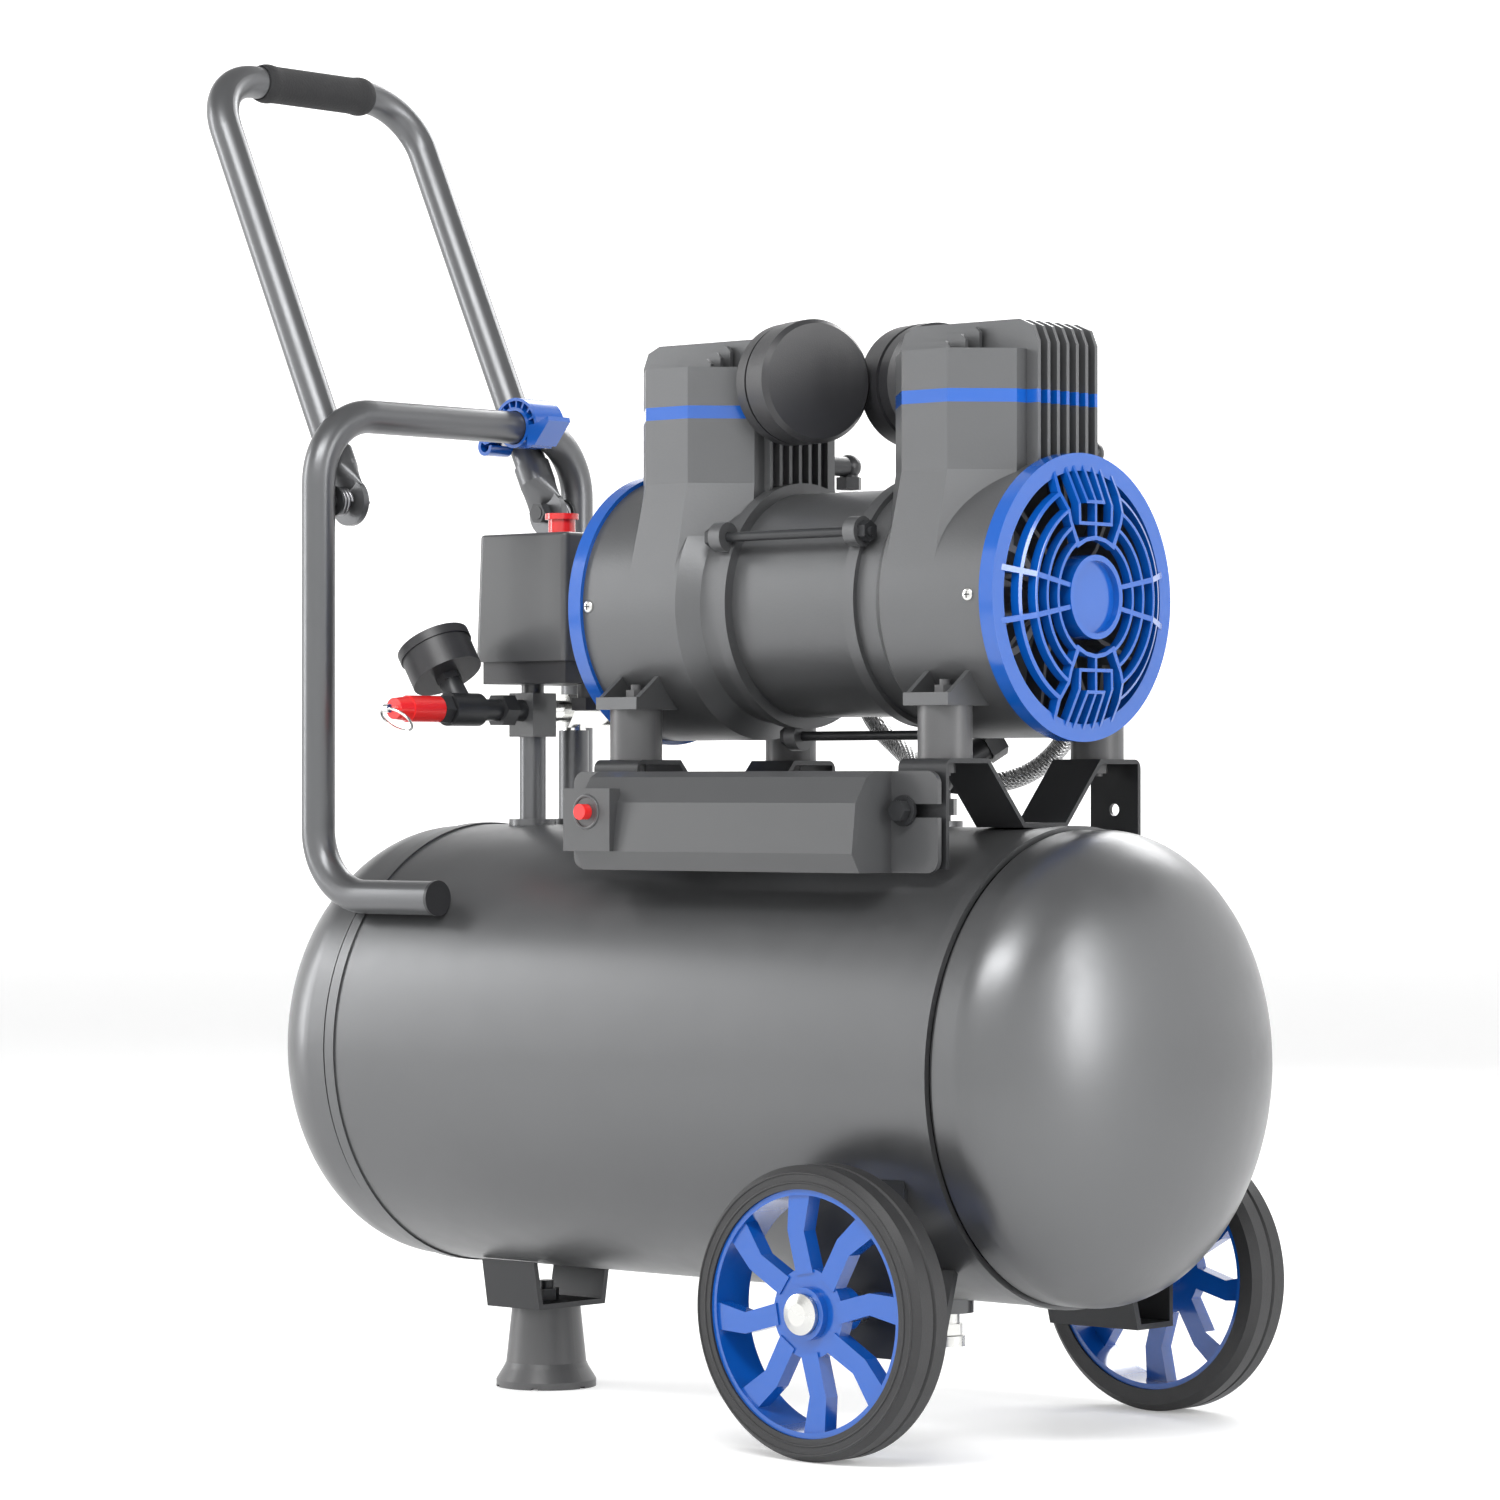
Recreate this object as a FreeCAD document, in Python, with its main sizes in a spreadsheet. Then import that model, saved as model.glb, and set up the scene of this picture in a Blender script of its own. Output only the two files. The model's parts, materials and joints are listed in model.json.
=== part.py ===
import FreeCAD, Part
import math
import os
import re
import Sketcher
from FreeCAD import Placement, Rotation, Vector

# Portable twin-cylinder air compressor on a horizontal tank.
# Frame: millimetres, +Z up, +X along the tank towards the wheels, -Y towards the control box.
# The origin is the middle of the foot's sole, on the floor.

doc = FreeCAD.newDocument("AirCompressor")

# ---------------------------------------------------------------- driving dimensions

SIZES = {
    "tank": {
        "tank_mid_x": 167, "tank_axis_z": 195, "tank_radius": 125, "tank_wall": 2.4,
        "shell_half": 218, "bead_width": 7, "bead_height": 1,
        "head_radius": 124, "head_depth_left": 67, "head_depth_right": 60, "head_flange": 16,
        "weld_width": 3, "weld_depth": 2.2,
        "boss_radius": 13.5, "boss_top_z": 323, "boss_bottom_z": 310, "boss_bore": 6,
        "inlet_x": 270, "inlet_y": 24, "drain_x": 297, "drain_boss_z": 62, "hose_radius": 5.4,
    },
    "saddles": {
        "saddle_left_x": 131, "saddle_right_x": 347, "saddle_width": 32, "saddle_sheet": 2.5,
        "saddle_base_z": 320, "saddle_top_z": 356, "saddle_flat_y": 18, "saddle_knee_y": 47,
        "saddle_leg_y": 82, "saddle_foot_z": 299, "saddle_back_foot_z": 292, "saddle_bend": 5,
        "saddle_hole_z": 329,
        "saddle_hole_radius": 3.3, "isolator_y": 64, "stud_radius": 3,
    },
    "frame": {
        "tube_radius": 9.5, "tube_wall": 1.5, "frame_x": -77, "frame_y": 106, "frame_low_z": 279.7,
        "frame_top_z": 553, "frame_end_x": 17, "frame_low_bend": 38, "frame_top_bend": 40,
        "plug_lip": 2, "plug_lip_radius": 9.9, "plug_stem": 14,
    },
    "handle": {
        "pivot_z": 503.5, "handle_y": 81.2, "handle_tilt": 25.2, "handle_reach": 281, "handle_bend": 36,
        "lug_radius": 13.5, "lug_half": 2, "lug_sleeve": 10.7, "sleeve_end": 32,
        "sleeve_start": 20, "blade_end": 5, "pivot_bolt_radius": 4, "pivot_play": 0.05,
        "grip_radius": 11.8, "grip_half": 43.4, "grip_shift": 2.4,
        "spring_radius": 7.2, "spring_wire": 1.1, "spring_pitch": 2.6, "spring_in_y": 85.5,
        "spring_out_y": 93.5,
    },
    "clip": {
        "clip_bore": 10, "clip_ring": 12, "clip_skin_in": 15.9, "clip_skin_out": 17.7, "clip_low_y": 52,
        "clip_high_y": 70.2, "clip_far_y": 77, "clip_floor": 5, "clip_roll": 5.6, "clip_roll_bore": 3.4,
    },
    "wheels": {
        "wheel_x": 331, "wheel_z": 75, "tyre_radius": 75, "rim_radius": 63, "wheel_out_y": 157,
        "wheel_width": 28,
        "rim_wall": 3, "hub_radius": 13.5, "hub_disc": 23, "axle_radius": 5, "axle_play": 0.06,
        "axle_in_y": 101, "screw_radius": 10.5, "screw_height": 4.5,
        "bracket_half": 30, "bracket_in_y": 82, "bracket_out_y": 113, "bracket_low_z": 50, "bracket_sheet": 3,
        "bracket_inner_top_y": 70, "bracket_inner_top": 103.9, "bracket_outer_top": 53.8,
    },
    "foot": {
        "foot_radius": 28.5, "foot_rim": 4, "foot_neck": 22.8, "foot_neck_z": 14, "foot_top": 19.5,
        "foot_height": 46, "foot_stud_z": 26, "foot_bolt_radius": 4, "foot_bracket_half": 20.5,
        "foot_bracket_low": 27, "foot_bracket_high": 31.5, "foot_bracket_top_z": 73, "foot_bracket_sheet": 3,
    },
    "pump": {
        "pump_x": 238.5, "pump_z": 440, "cylinder_offset": 91, "case_radius": 73, "case_wall": 4,
        "case_in": 41.5, "case_flange": 49, "case_flange_radius": 67, "case_out": 140.5, "cover_out": 149.5,
        "motor_radius": 61, "motor_wall": 3, "block_half_x": 41, "block_half_y": 59,
        "block_chamfer": 25.6, "block_base": 22, "skirt_top": 66,
        "skirt_base": 17, "skirt_x": 3, "skirt_y": 12,
        "block_top_z": 541, "gasket_top_z": 548, "head_top_z": 569, "fin_top_z": 585, "fin_reach": 48.5,
        "fin_thick": 2.4, "fin_pitch": 8, "fin_corner": 12, "bore_radius": 31, "ear_low_z": 383.4,
        "ear_top_z": 390,
        "ear_half_x": 15, "ear_in_y": 40, "ear_out_y": 80, "isolator_radius": 14.25,
        "rod_circle": 71, "rod_radius": 2.6, "rod_ear": 8,
    },
    "drive": {
        "shaft_radius": 7, "bearing_radius": 16, "bearing_width": 10, "stator_out": 57.8, "stator_in": 33.5,
        "core_radius": 33, "core_half": 26, "throw": 6, "rod_eye": 26.6,
        "rod_eye_out": 30.6, "rod_half": 5, "piston_radius": 30.92, "piston_top_z": 534.5, "piston_height": 9,
        "fan_radius": 64, "fan_hub": 15, "fan_in": 126.5, "fan_width": 11, "fan_blade": 2,
    },
    "cover": {
        "cover_radius": 75.3, "cover_bore": 66, "cover_dome": 8.5, "dome_flat": 50,
        "grille_hub": 22, "grille_recess": 19, "rib_first": 31.5, "rib_pitch": 9, "rib_width": 1.8,
        "rib_depth": 5,
    },
    "service": {
        "service_x": -11, "service_z": 385, "block_low_z": 370, "block_high_z": 395, "block_width": 19,
        "pipe_radius": 7.5, "riser_radius": 8.7, "riser_y": 34, "riser_top_z": 374,
        "switch_low_z": 400, "switch_base_z": 412.7, "switch_top_z": 485.4, "switch_left_x": -33,
        "switch_right_x": 36, "switch_front_y": -22, "switch_back_y": 44, "switch_taper": 3.5,
        "knob_x": 1.5, "knob_y": 11, "knob_radius": 7.8, "knob_top_radius": 9.6, "knob_height": 12,
        "gauge_y": -57, "gauge_tilt": 32, "gauge_radius": 20.5, "gauge_thick": 22, "gauge_reach": 29.4,
        "valve_radius": 7.5, "valve_end_y": -101, "cap_radius": 7, "cap_end_y": -111,
        "coupler_end_y": 74, "coupler_bore": 4.3, "pull_ring": 9.5, "pull_wire": 0.8,
    },
    "control": {
        "box_left_x": 105, "box_right_x": 362, "box_back_y": -84.5, "box_front_y": -119, "box_low_z": 297,
        "box_top_z": 349.5, "box_ear": 31, "box_ear_sheet": 3, "box_wall": 2.2, "box_bolt_left_x": 120.5,
        "box_bolt_right_x": 340, "box_bolt_z": 329, "box_bolt_radius": 3, "slot_width": 7,
        "pod_left_x": 130, "pod_right_x": 164, "button_x": 147, "button_z": 328, "button_radius": 4.2,
        "capacitor_radius": 12.5, "capacitor_length": 84,
    },
}


def fill_sheet():
    """One spreadsheet holds every driving dimension as a plain number with an alias."""
    cells = doc.addObject("Spreadsheet::Sheet", "Sizes")
    row = 1
    for group, values in SIZES.items():
        cells.set(f"A{row}", group)
        row += 1
        for alias, value in values.items():
            cells.set(f"A{row}", alias)
            cells.set(f"B{row}", str(value))
            cells.setAlias(f"B{row}", alias)
            row += 1
    doc.recompute()
    return cells


sheet = fill_sheet()
ALIASES = {alias for values in SIZES.values() for alias in values}
NODES = []

# ---------------------------------------------------------------- working with the sheet


def mm(expression):
    """The present value of an expression of the sheet's aliases."""
    return float(sheet.evalExpression(str(expression)))


def linked(expression):
    """The same expression, as an object outside the sheet has to write it."""
    return re.sub(r"[a-z_]+\w*", lambda word: f"Sizes.{word[0]}" if word[0] in ALIASES else word[0], str(expression))


def bind(thing, path, expression):
    thing.setExpression(path, linked(expression))


def keep(thing, name):
    """Marks an object as a finished sub-part under its own label."""
    thing.Label = name
    NODES.append(thing)
    return thing


# ---------------------------------------------------------------- bodies made from sketches


def new_body(name):
    return doc.addObject("PartDesign::Body", name)


def new_sketch(body, plane, across="0", up="0", out="0"):
    """A sketch on one of the body's own origin planes, shifted within the plane and along its normal."""
    made = body.newObject("Sketcher::SketchObject", f"{body.Name}Sketch")
    origin_plane = [feature for feature in body.Origin.OriginFeatures if feature.Role == plane][0]
    made.AttachmentSupport = [(origin_plane, "")]
    made.MapMode = "FlatFace"
    for axis, amount in zip("xyz", (across, up, out)):
        bind(made, f"AttachmentOffset.Base.{axis}", amount)
    return made


def hold_point(made, edge, end, across, up):
    """Holds one end of a sketch edge at two expressions of the sheet."""
    for kind, amount in (("DistanceX", across), ("DistanceY", up)):
        number = made.addConstraint(Sketcher.Constraint(kind, -1, 1, edge, end, mm(amount)))
        bind(made, f"Constraints[{number}]", amount)


def draw_polygon(made, corners):
    """A closed outline of straight edges. Each corner is a pair of expressions."""
    first = made.GeometryCount
    count = len(corners)
    points = [Vector(mm(across), mm(up), 0) for across, up in corners]
    for number, point in enumerate(points):
        made.addGeometry(Part.LineSegment(point, points[(number + 1) % count]))
    for number, (across, up) in enumerate(corners):
        following = first + (number + 1) % count
        made.addConstraint(Sketcher.Constraint("Coincident", first + number, 2, following, 1))
        hold_point(made, first + number, 1, across, up)


def draw_rectangle(made, low_across, low_up, high_across, high_up):
    corners = [(low_across, low_up), (high_across, low_up), (high_across, high_up), (low_across, high_up)]
    draw_polygon(made, corners)


def draw_circle(made, across, up, radius):
    edge = made.addGeometry(Part.Circle(Vector(mm(across), mm(up), 0), Vector(0, 0, 1), mm(radius)))
    hold_point(made, edge, 3, across, up)
    number = made.addConstraint(Sketcher.Constraint("Radius", edge, mm(radius)))
    bind(made, f"Constraints[{number}]", radius)


def add_feature(body, kind, profile):
    feature = body.newObject(kind, f"{body.Name}{kind.split('::')[1]}")
    feature.Profile = profile
    return feature


def pad(body, profile, length, backwards=False):
    feature = add_feature(body, "PartDesign::Pad", profile)
    bind(feature, "Length", length)
    feature.Reversed = backwards
    return feature


def pocket(body, profile, length, backwards=False):
    feature = add_feature(body, "PartDesign::Pocket", profile)
    bind(feature, "Length", length)
    feature.Reversed = backwards
    return feature


def turn(body, profile, axis):
    """A full revolution about the sketch's own horizontal or vertical axis."""
    feature = add_feature(body, "PartDesign::Revolution", profile)
    feature.ReferenceAxis = (profile, [axis])
    feature.Angle = 360
    return feature


def repeat_along(body, feature, profile, axis, length, count):
    pattern = body.newObject("PartDesign::LinearPattern", f"{body.Name}Row")
    pattern.Originals = [feature]
    pattern.Direction = (profile, [axis])
    bind(pattern, "Length", length)
    pattern.Occurrences = count
    body.Tip = pattern
    return pattern


def repeat_round(body, features, profile, count):
    pattern = body.newObject("PartDesign::PolarPattern", f"{body.Name}Round")
    pattern.Originals = features
    pattern.Axis = (profile, ["N_Axis"])
    pattern.Angle = 360
    pattern.Occurrences = count
    body.Tip = pattern
    return pattern


def round_edges(body, base, chosen, radius):
    """Rounds the edges of the last feature that the given test picks."""
    doc.recompute()
    names = [f"Edge{n}" for n, edge in enumerate(base.Shape.Edges, 1) if chosen(edge)]
    feature = body.newObject("PartDesign::Fillet", f"{body.Name}Fillet")
    feature.Base = (base, names)
    bind(feature, "Radius", radius)
    return feature


def runs_along(edge, direction):
    """True for a straight edge along that direction."""
    if not isinstance(edge.Curve, Part.Line):
        return False
    return abs(abs(edge.Curve.Direction.dot(direction)) - 1) < 1e-6


# ---------------------------------------------------------------- solids made from primitives

ALONG = {
    "x": Rotation(Vector(0, 0, 1), Vector(1, 0, 0)),
    "y": Rotation(Vector(0, 0, 1), Vector(0, 1, 0)),
    "-y": Rotation(Vector(0, 0, 1), Vector(0, -1, 0)),
    "z": Rotation(),
}


def facing(direction):
    """A direction given by name or as a rotation of the upright."""
    return ALONG[direction] if isinstance(direction, str) else direction


def put(solid, base, rotation):
    """Places a primitive: its base follows the sheet, its direction is fixed."""
    solid.Placement = Placement(Vector(*[mm(amount) for amount in base]), rotation)
    for axis, amount in zip("xyz", base):
        bind(solid, f"Placement.Base.{axis}", amount)
    return solid


def rod(base, direction, radius, length):
    solid = doc.addObject("Part::Cylinder", "Rod")
    bind(solid, "Radius", radius)
    bind(solid, "Height", length)
    return put(solid, base, facing(direction))


def taper(base, direction, low_radius, high_radius, length):
    solid = doc.addObject("Part::Cone", "Taper")
    bind(solid, "Radius1", low_radius)
    bind(solid, "Radius2", high_radius)
    bind(solid, "Height", length)
    return put(solid, base, facing(direction))


def hexagon(base, direction, across_flats, length):
    solid = doc.addObject("Part::Prism", "Hexagon")
    solid.Polygon = 6
    bind(solid, "Circumradius", f"({across_flats}) / 1.732")
    bind(solid, "Height", length)
    return put(solid, base, facing(direction))


def ball(centre, radius):
    solid = doc.addObject("Part::Sphere", "Ball")
    bind(solid, "Radius", radius)
    return put(solid, centre, Rotation())


def brick(low, high):
    solid = doc.addObject("Part::Box", "Brick")
    for path, start, end in zip(("Length", "Width", "Height"), low, high):
        bind(solid, path, f"({end}) - ({start})")
    return put(solid, low, Rotation())


def fused(*solids):
    made = doc.addObject("Part::MultiFuse", "Fused")
    made.Shapes = list(solids)
    return made


def less(base, *tools):
    made = doc.addObject("Part::Cut", "Less")
    made.Base = base
    made.Tool = tools[0] if len(tools) == 1 else fused(*tools)
    return made


def both(base, tool):
    made = doc.addObject("Part::Common", "Both")
    made.Base = base
    made.Tool = tool
    return made


def grouped(*solids):
    """Separate solids that share one sub-part."""
    made = doc.addObject("Part::Compound", "Grouped")
    made.Links = list(solids)
    return made


def pipe(base, direction, outer, inner, length):
    return less(rod(base, direction, outer, length), rod(base, direction, inner, length))


# ---------------------------------------------------------------- bent tubes


def bent_path(points, radii):
    """Straight runs between the points, joined by arcs tangent to both, as one wire."""
    edges = []
    start = points[0]
    for before, corner, after, radius in zip(points, points[1:], points[2:], radii):
        arriving = (corner - before).normalize()
        leaving = (after - corner).normalize()
        half_turn = arriving.getAngle(leaving) / 2
        setback = radius * math.tan(half_turn)
        arc_start = corner - arriving * setback
        arc_end = corner + leaving * setback
        inward = (leaving - arriving).normalize()
        arc_middle = corner + inward * (radius / math.cos(half_turn) - radius)
        edges.append(Part.LineSegment(start, arc_start).toShape())
        edges.append(Part.Arc(arc_start, arc_middle, arc_end).toShape())
        start = arc_end
    edges.append(Part.LineSegment(start, points[-1]).toShape())
    return Part.Wire(edges)


def swept(path, radius):
    """A round bar of that radius along the path."""
    start = path.Vertexes[0].Point
    first = path.Edges[0]
    ring = Part.Wire(Part.Circle(start, first.tangentAt(first.FirstParameter), radius).toShape())
    return path.makePipeShell([ring], True, False)


def as_node(name, shape, placement=Placement()):
    """A sub-part whose shape is set from the sheet's values, because a sketch or a primitive can't hold it."""
    made = doc.addObject("Part::Feature", name)
    made.Shape = shape
    made.Placement = placement
    return keep(made, name)


# ---------------------------------------------------------------- tank


def make_tank_shell():
    body = new_body("tank_shell")
    wall = new_sketch(body, "XZ_Plane", "tank_mid_x", "tank_axis_z")
    half, bead = "shell_half", "(shell_half - bead_width)"
    outer, raised, inner = "tank_radius", "tank_radius + bead_height", "tank_radius - tank_wall"
    corners = [(f"-{half}", inner), (half, inner), (half, raised), (bead, raised), (bead, outer)]
    corners += [(f"-{bead}", outer), (f"-{bead}", raised), (f"-{half}", raised)]
    draw_polygon(wall, corners)
    turn(body, wall, "H_Axis")
    bosses = new_sketch(body, "XY_Plane", out="boss_bottom_z")
    places = [("service_x", "0"), ("service_x", "riser_y"), ("inlet_x", "inlet_y")]
    for across, up in places:
        draw_circle(bosses, across, up, "boss_radius")
    pad(body, bosses, "boss_top_z - boss_bottom_z")
    drain = new_sketch(body, "XY_Plane", out="drain_boss_z")
    draw_circle(drain, "drain_x", "0", "boss_radius")
    pad(body, drain, "tank_axis_z - tank_radius + tank_wall - drain_boss_z")
    ports = new_sketch(body, "XY_Plane", out="boss_top_z")
    for across, up in places:
        draw_circle(ports, across, up, "boss_bore")
    pocket(body, ports, "boss_top_z - tank_axis_z")
    drain_port = new_sketch(body, "XY_Plane", out="tank_axis_z")
    draw_circle(drain_port, "drain_x", "0", "boss_bore")
    pocket(body, drain_port, "tank_axis_z")
    return keep(body, "tank_shell")


def half_ellipsoid(base, direction, radius, depth):
    """Half of an oblate ball, its flat side at the base and its crown along the direction."""
    solid = doc.addObject("Part::Ellipsoid", "Crown")
    bind(solid, "Radius1", depth)
    bind(solid, "Radius2", radius)
    bind(solid, "Radius3", radius)
    solid.Angle1 = 0
    return put(solid, base, direction)


def make_tank_head(name, side, depth):
    """A domed end: short flange with a narrow weld groove, then an elliptical crown."""
    outwards = ALONG["x"] if side > 0 else Rotation(Vector(0, 0, 1), Vector(-1, 0, 0))
    seam = (f"tank_mid_x + ({side}) * shell_half", "0", "tank_axis_z")
    flange_end = (f"tank_mid_x + ({side}) * (shell_half + head_flange)", "0", "tank_axis_z")
    after_weld = (f"tank_mid_x + ({side}) * (shell_half + weld_width)", "0", "tank_axis_z")
    weld = rod(seam, outwards, "head_radius - weld_depth", "weld_width")
    flange = rod(after_weld, outwards, "head_radius", "head_flange - weld_width")
    crown = half_ellipsoid(flange_end, outwards, "head_radius", depth)
    cavity_radius = "head_radius - weld_depth - tank_wall"
    cavity = rod(seam, outwards, cavity_radius, "head_flange")
    hollow = half_ellipsoid(flange_end, outwards, cavity_radius, f"{depth} - tank_wall")
    return keep(less(fused(weld, flange, crown), cavity, hollow), name)


def saddle(middle, bolt_x, stud_x):
    """A bent strip across the tank's crest: flat, two diagonals, two flanges and two legs."""
    body = new_body("saddle")
    outline = new_sketch(body, "YZ_Plane", out=f"{middle} - saddle_width / 2")
    half = [
        ("saddle_flat_y", "saddle_base_z"),
        ("saddle_knee_y + 1", "saddle_top_z - saddle_sheet"),
        ("saddle_leg_y - saddle_sheet", "saddle_top_z - saddle_sheet"),
        ("saddle_leg_y - saddle_sheet", "FOOT"),
        ("saddle_leg_y", "FOOT"),
        ("saddle_leg_y", "saddle_top_z"),
        ("saddle_knee_y", "saddle_top_z"),
        ("saddle_flat_y - 1", "saddle_base_z + saddle_sheet"),
    ]
    back = [(across, up.replace("FOOT", "saddle_back_foot_z")) for across, up in half]
    front = [(f"-({across})", up.replace("FOOT", "saddle_foot_z")) for across, up in reversed(half)]
    draw_polygon(outline, back + front)
    strip = pad(body, outline, "saddle_width")
    corner_y, corner_z = mm("saddle_leg_y"), mm("saddle_top_z")

    def at_top_corner(edge):
        middle_point = edge.CenterOfMass
        return abs(abs(middle_point.y) - corner_y) < 0.1 and abs(middle_point.z - corner_z) < 0.1

    round_edges(body, strip, at_top_corner, "saddle_bend")
    studs = new_sketch(body, "XY_Plane", out="saddle_top_z + saddle_sheet")
    for side in ("-", ""):
        draw_circle(studs, stud_x, f"{side}isolator_y", "stud_radius + 0.2")
    pocket(body, studs, "2 * saddle_sheet + saddle_sheet")
    for x, out, backwards in ((bolt_x, "saddle_leg_y + 1", False), (middle, "-saddle_leg_y - 1", True)):
        hole = new_sketch(body, "XZ_Plane", out=out)
        draw_circle(hole, x, "saddle_hole_z", "saddle_hole_radius")
        pocket(body, hole, "saddle_sheet + 2", backwards=backwards)
    return body


def make_saddles():
    left = saddle("saddle_left_x", "box_bolt_left_x", case_x(-1, "case_out - 31.5"))
    right = saddle("saddle_right_x", "box_bolt_right_x", case_x(1, "case_out - 31.5"))
    return keep(grouped(left, right), "saddles")


# ---------------------------------------------------------------- fixed frame, wheels and foot


def make_lower_frame_tube():
    x, y = mm("frame_x"), mm("frame_y")
    low, top, end = mm("frame_low_z"), mm("frame_top_z"), mm("frame_end_x")
    points = [Vector(end, -y, low), Vector(x, -y, low), Vector(x, -y, top)]
    points += [Vector(x, y, top), Vector(x, y, low), Vector(end, y, low)]
    low_bend, top_bend = mm("frame_low_bend"), mm("frame_top_bend")
    path = bent_path(points, [low_bend, top_bend, top_bend, low_bend])
    bar = swept(path, mm("tube_radius")).cut(swept(path, mm("tube_radius - tube_wall")))
    bolt = mm("pivot_bolt_radius")
    cross_hole = Part.makeCylinder(bolt, 2 * y, Vector(x, -y, mm("pivot_z")), Vector(0, 1, 0))
    return as_node("lower_frame_tube", bar.cut(cross_hole))


def make_frame_end_plugs():
    plugs = []
    for side in ("-", ""):
        start = ("frame_end_x", f"{side}frame_y", "frame_low_z")
        inside = ("frame_end_x - plug_stem", f"{side}frame_y", "frame_low_z")
        lip = rod(start, "x", "plug_lip_radius", "plug_lip")
        stem = rod(inside, "x", "tube_radius - tube_wall", "plug_stem")
        plugs.append(fused(lip, stem))
    return keep(grouped(*plugs), "frame_end_plugs")


def make_wheel_brackets():
    """A welded channel under each side of the tank carries a stub axle in its outer wall."""
    channels = []
    for side, back in (("-", ""), ("", "-")):
        body = new_body("wheel_bracket")
        outline = new_sketch(body, "YZ_Plane", out="wheel_x - bracket_half")
        low, sheet_metal = "bracket_low_z", "bracket_sheet"
        inner, outer = "bracket_in_y", "bracket_out_y"
        inner_top, top_y = "tank_axis_z - bracket_inner_top", "bracket_inner_top_y"
        outer_top = "tank_axis_z - bracket_outer_top"
        corners = [(inner, low), (outer, low), (outer, outer_top)]
        corners += [(f"{outer} - {sheet_metal}", f"{outer_top} - 2 * {sheet_metal}")]
        corners += [(f"{outer} - {sheet_metal}", f"{low} + {sheet_metal}")]
        corners += [(f"{inner} + {sheet_metal}", f"{low} + {sheet_metal}")]
        corners += [(f"{top_y} + {sheet_metal}", f"{inner_top} + 2"), (top_y, inner_top)]
        draw_polygon(outline, [(f"{side}({across})", up) for across, up in corners])
        pad(body, outline, "2 * bracket_half")
        hole = new_sketch(body, "XZ_Plane", out=f"{back}(bracket_out_y + 1)")
        draw_circle(hole, "wheel_x", "wheel_z", "axle_radius")
        pocket(body, hole, "bracket_sheet + 2", backwards=side == "")
        channels.append(body)
    return keep(grouped(*channels), "wheel_brackets")


def make_axle_bolts():
    """Shoulder bolts: pan head outside the hub, nut behind the bracket's wall."""
    bolts = []
    for side, outwards in ((-1, ALONG["-y"]), (1, ALONG["y"])):
        inner = ("wheel_x", f"({side}) * axle_in_y", "wheel_z")
        nut = ("wheel_x", f"({side}) * (bracket_out_y - bracket_sheet - 6)", "wheel_z")
        spacer = ("wheel_x", f"({side}) * bracket_out_y", "wheel_z")
        head = ("wheel_x", f"({side}) * (wheel_out_y + 0.4)", "wheel_z")
        shank = rod(inner, outwards, "axle_radius", "wheel_out_y + 0.5 - axle_in_y")
        collar = rod(spacer, outwards, "axle_radius + 3", "10.5")
        pan = rod(head, outwards, "screw_radius", "screw_height / 2")
        dome_base = ("wheel_x", f"({side}) * (wheel_out_y + 0.4 + screw_height / 2)", "wheel_z")
        dome = taper(dome_base, outwards, "screw_radius", "screw_radius * 0.55", "screw_height / 2")
        bolts.append(fused(shank, collar, pan, dome, hexagon(nut, outwards, "15", "6")))
    return keep(grouped(*bolts), "axle_bolts")


def make_tyre(name, side):
    body = new_body(name)
    outer, inner = f"({side}) * wheel_out_y", f"({side}) * (wheel_out_y - wheel_width)"
    middle = f"({side}) * (wheel_out_y - wheel_width / 2)"
    section = new_sketch(body, "YZ_Plane", "0", "wheel_z", "wheel_x")
    tread, shoulder, step = "tyre_radius", "(tyre_radius - 4)", f"({side}) * 4"
    corners = [(inner, "rim_radius"), (outer, "rim_radius"), (outer, shoulder), (f"{outer} - {step}", tread)]
    corners += [(f"{middle} + {step} / 3", tread), (middle, "tyre_radius - 2")]
    corners += [(f"{middle} - {step} / 3", tread), (f"{inner} + {step}", tread), (inner, shoulder)]
    draw_polygon(section, corners)
    turn(body, section, "H_Axis")
    return keep(body, name)


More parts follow.
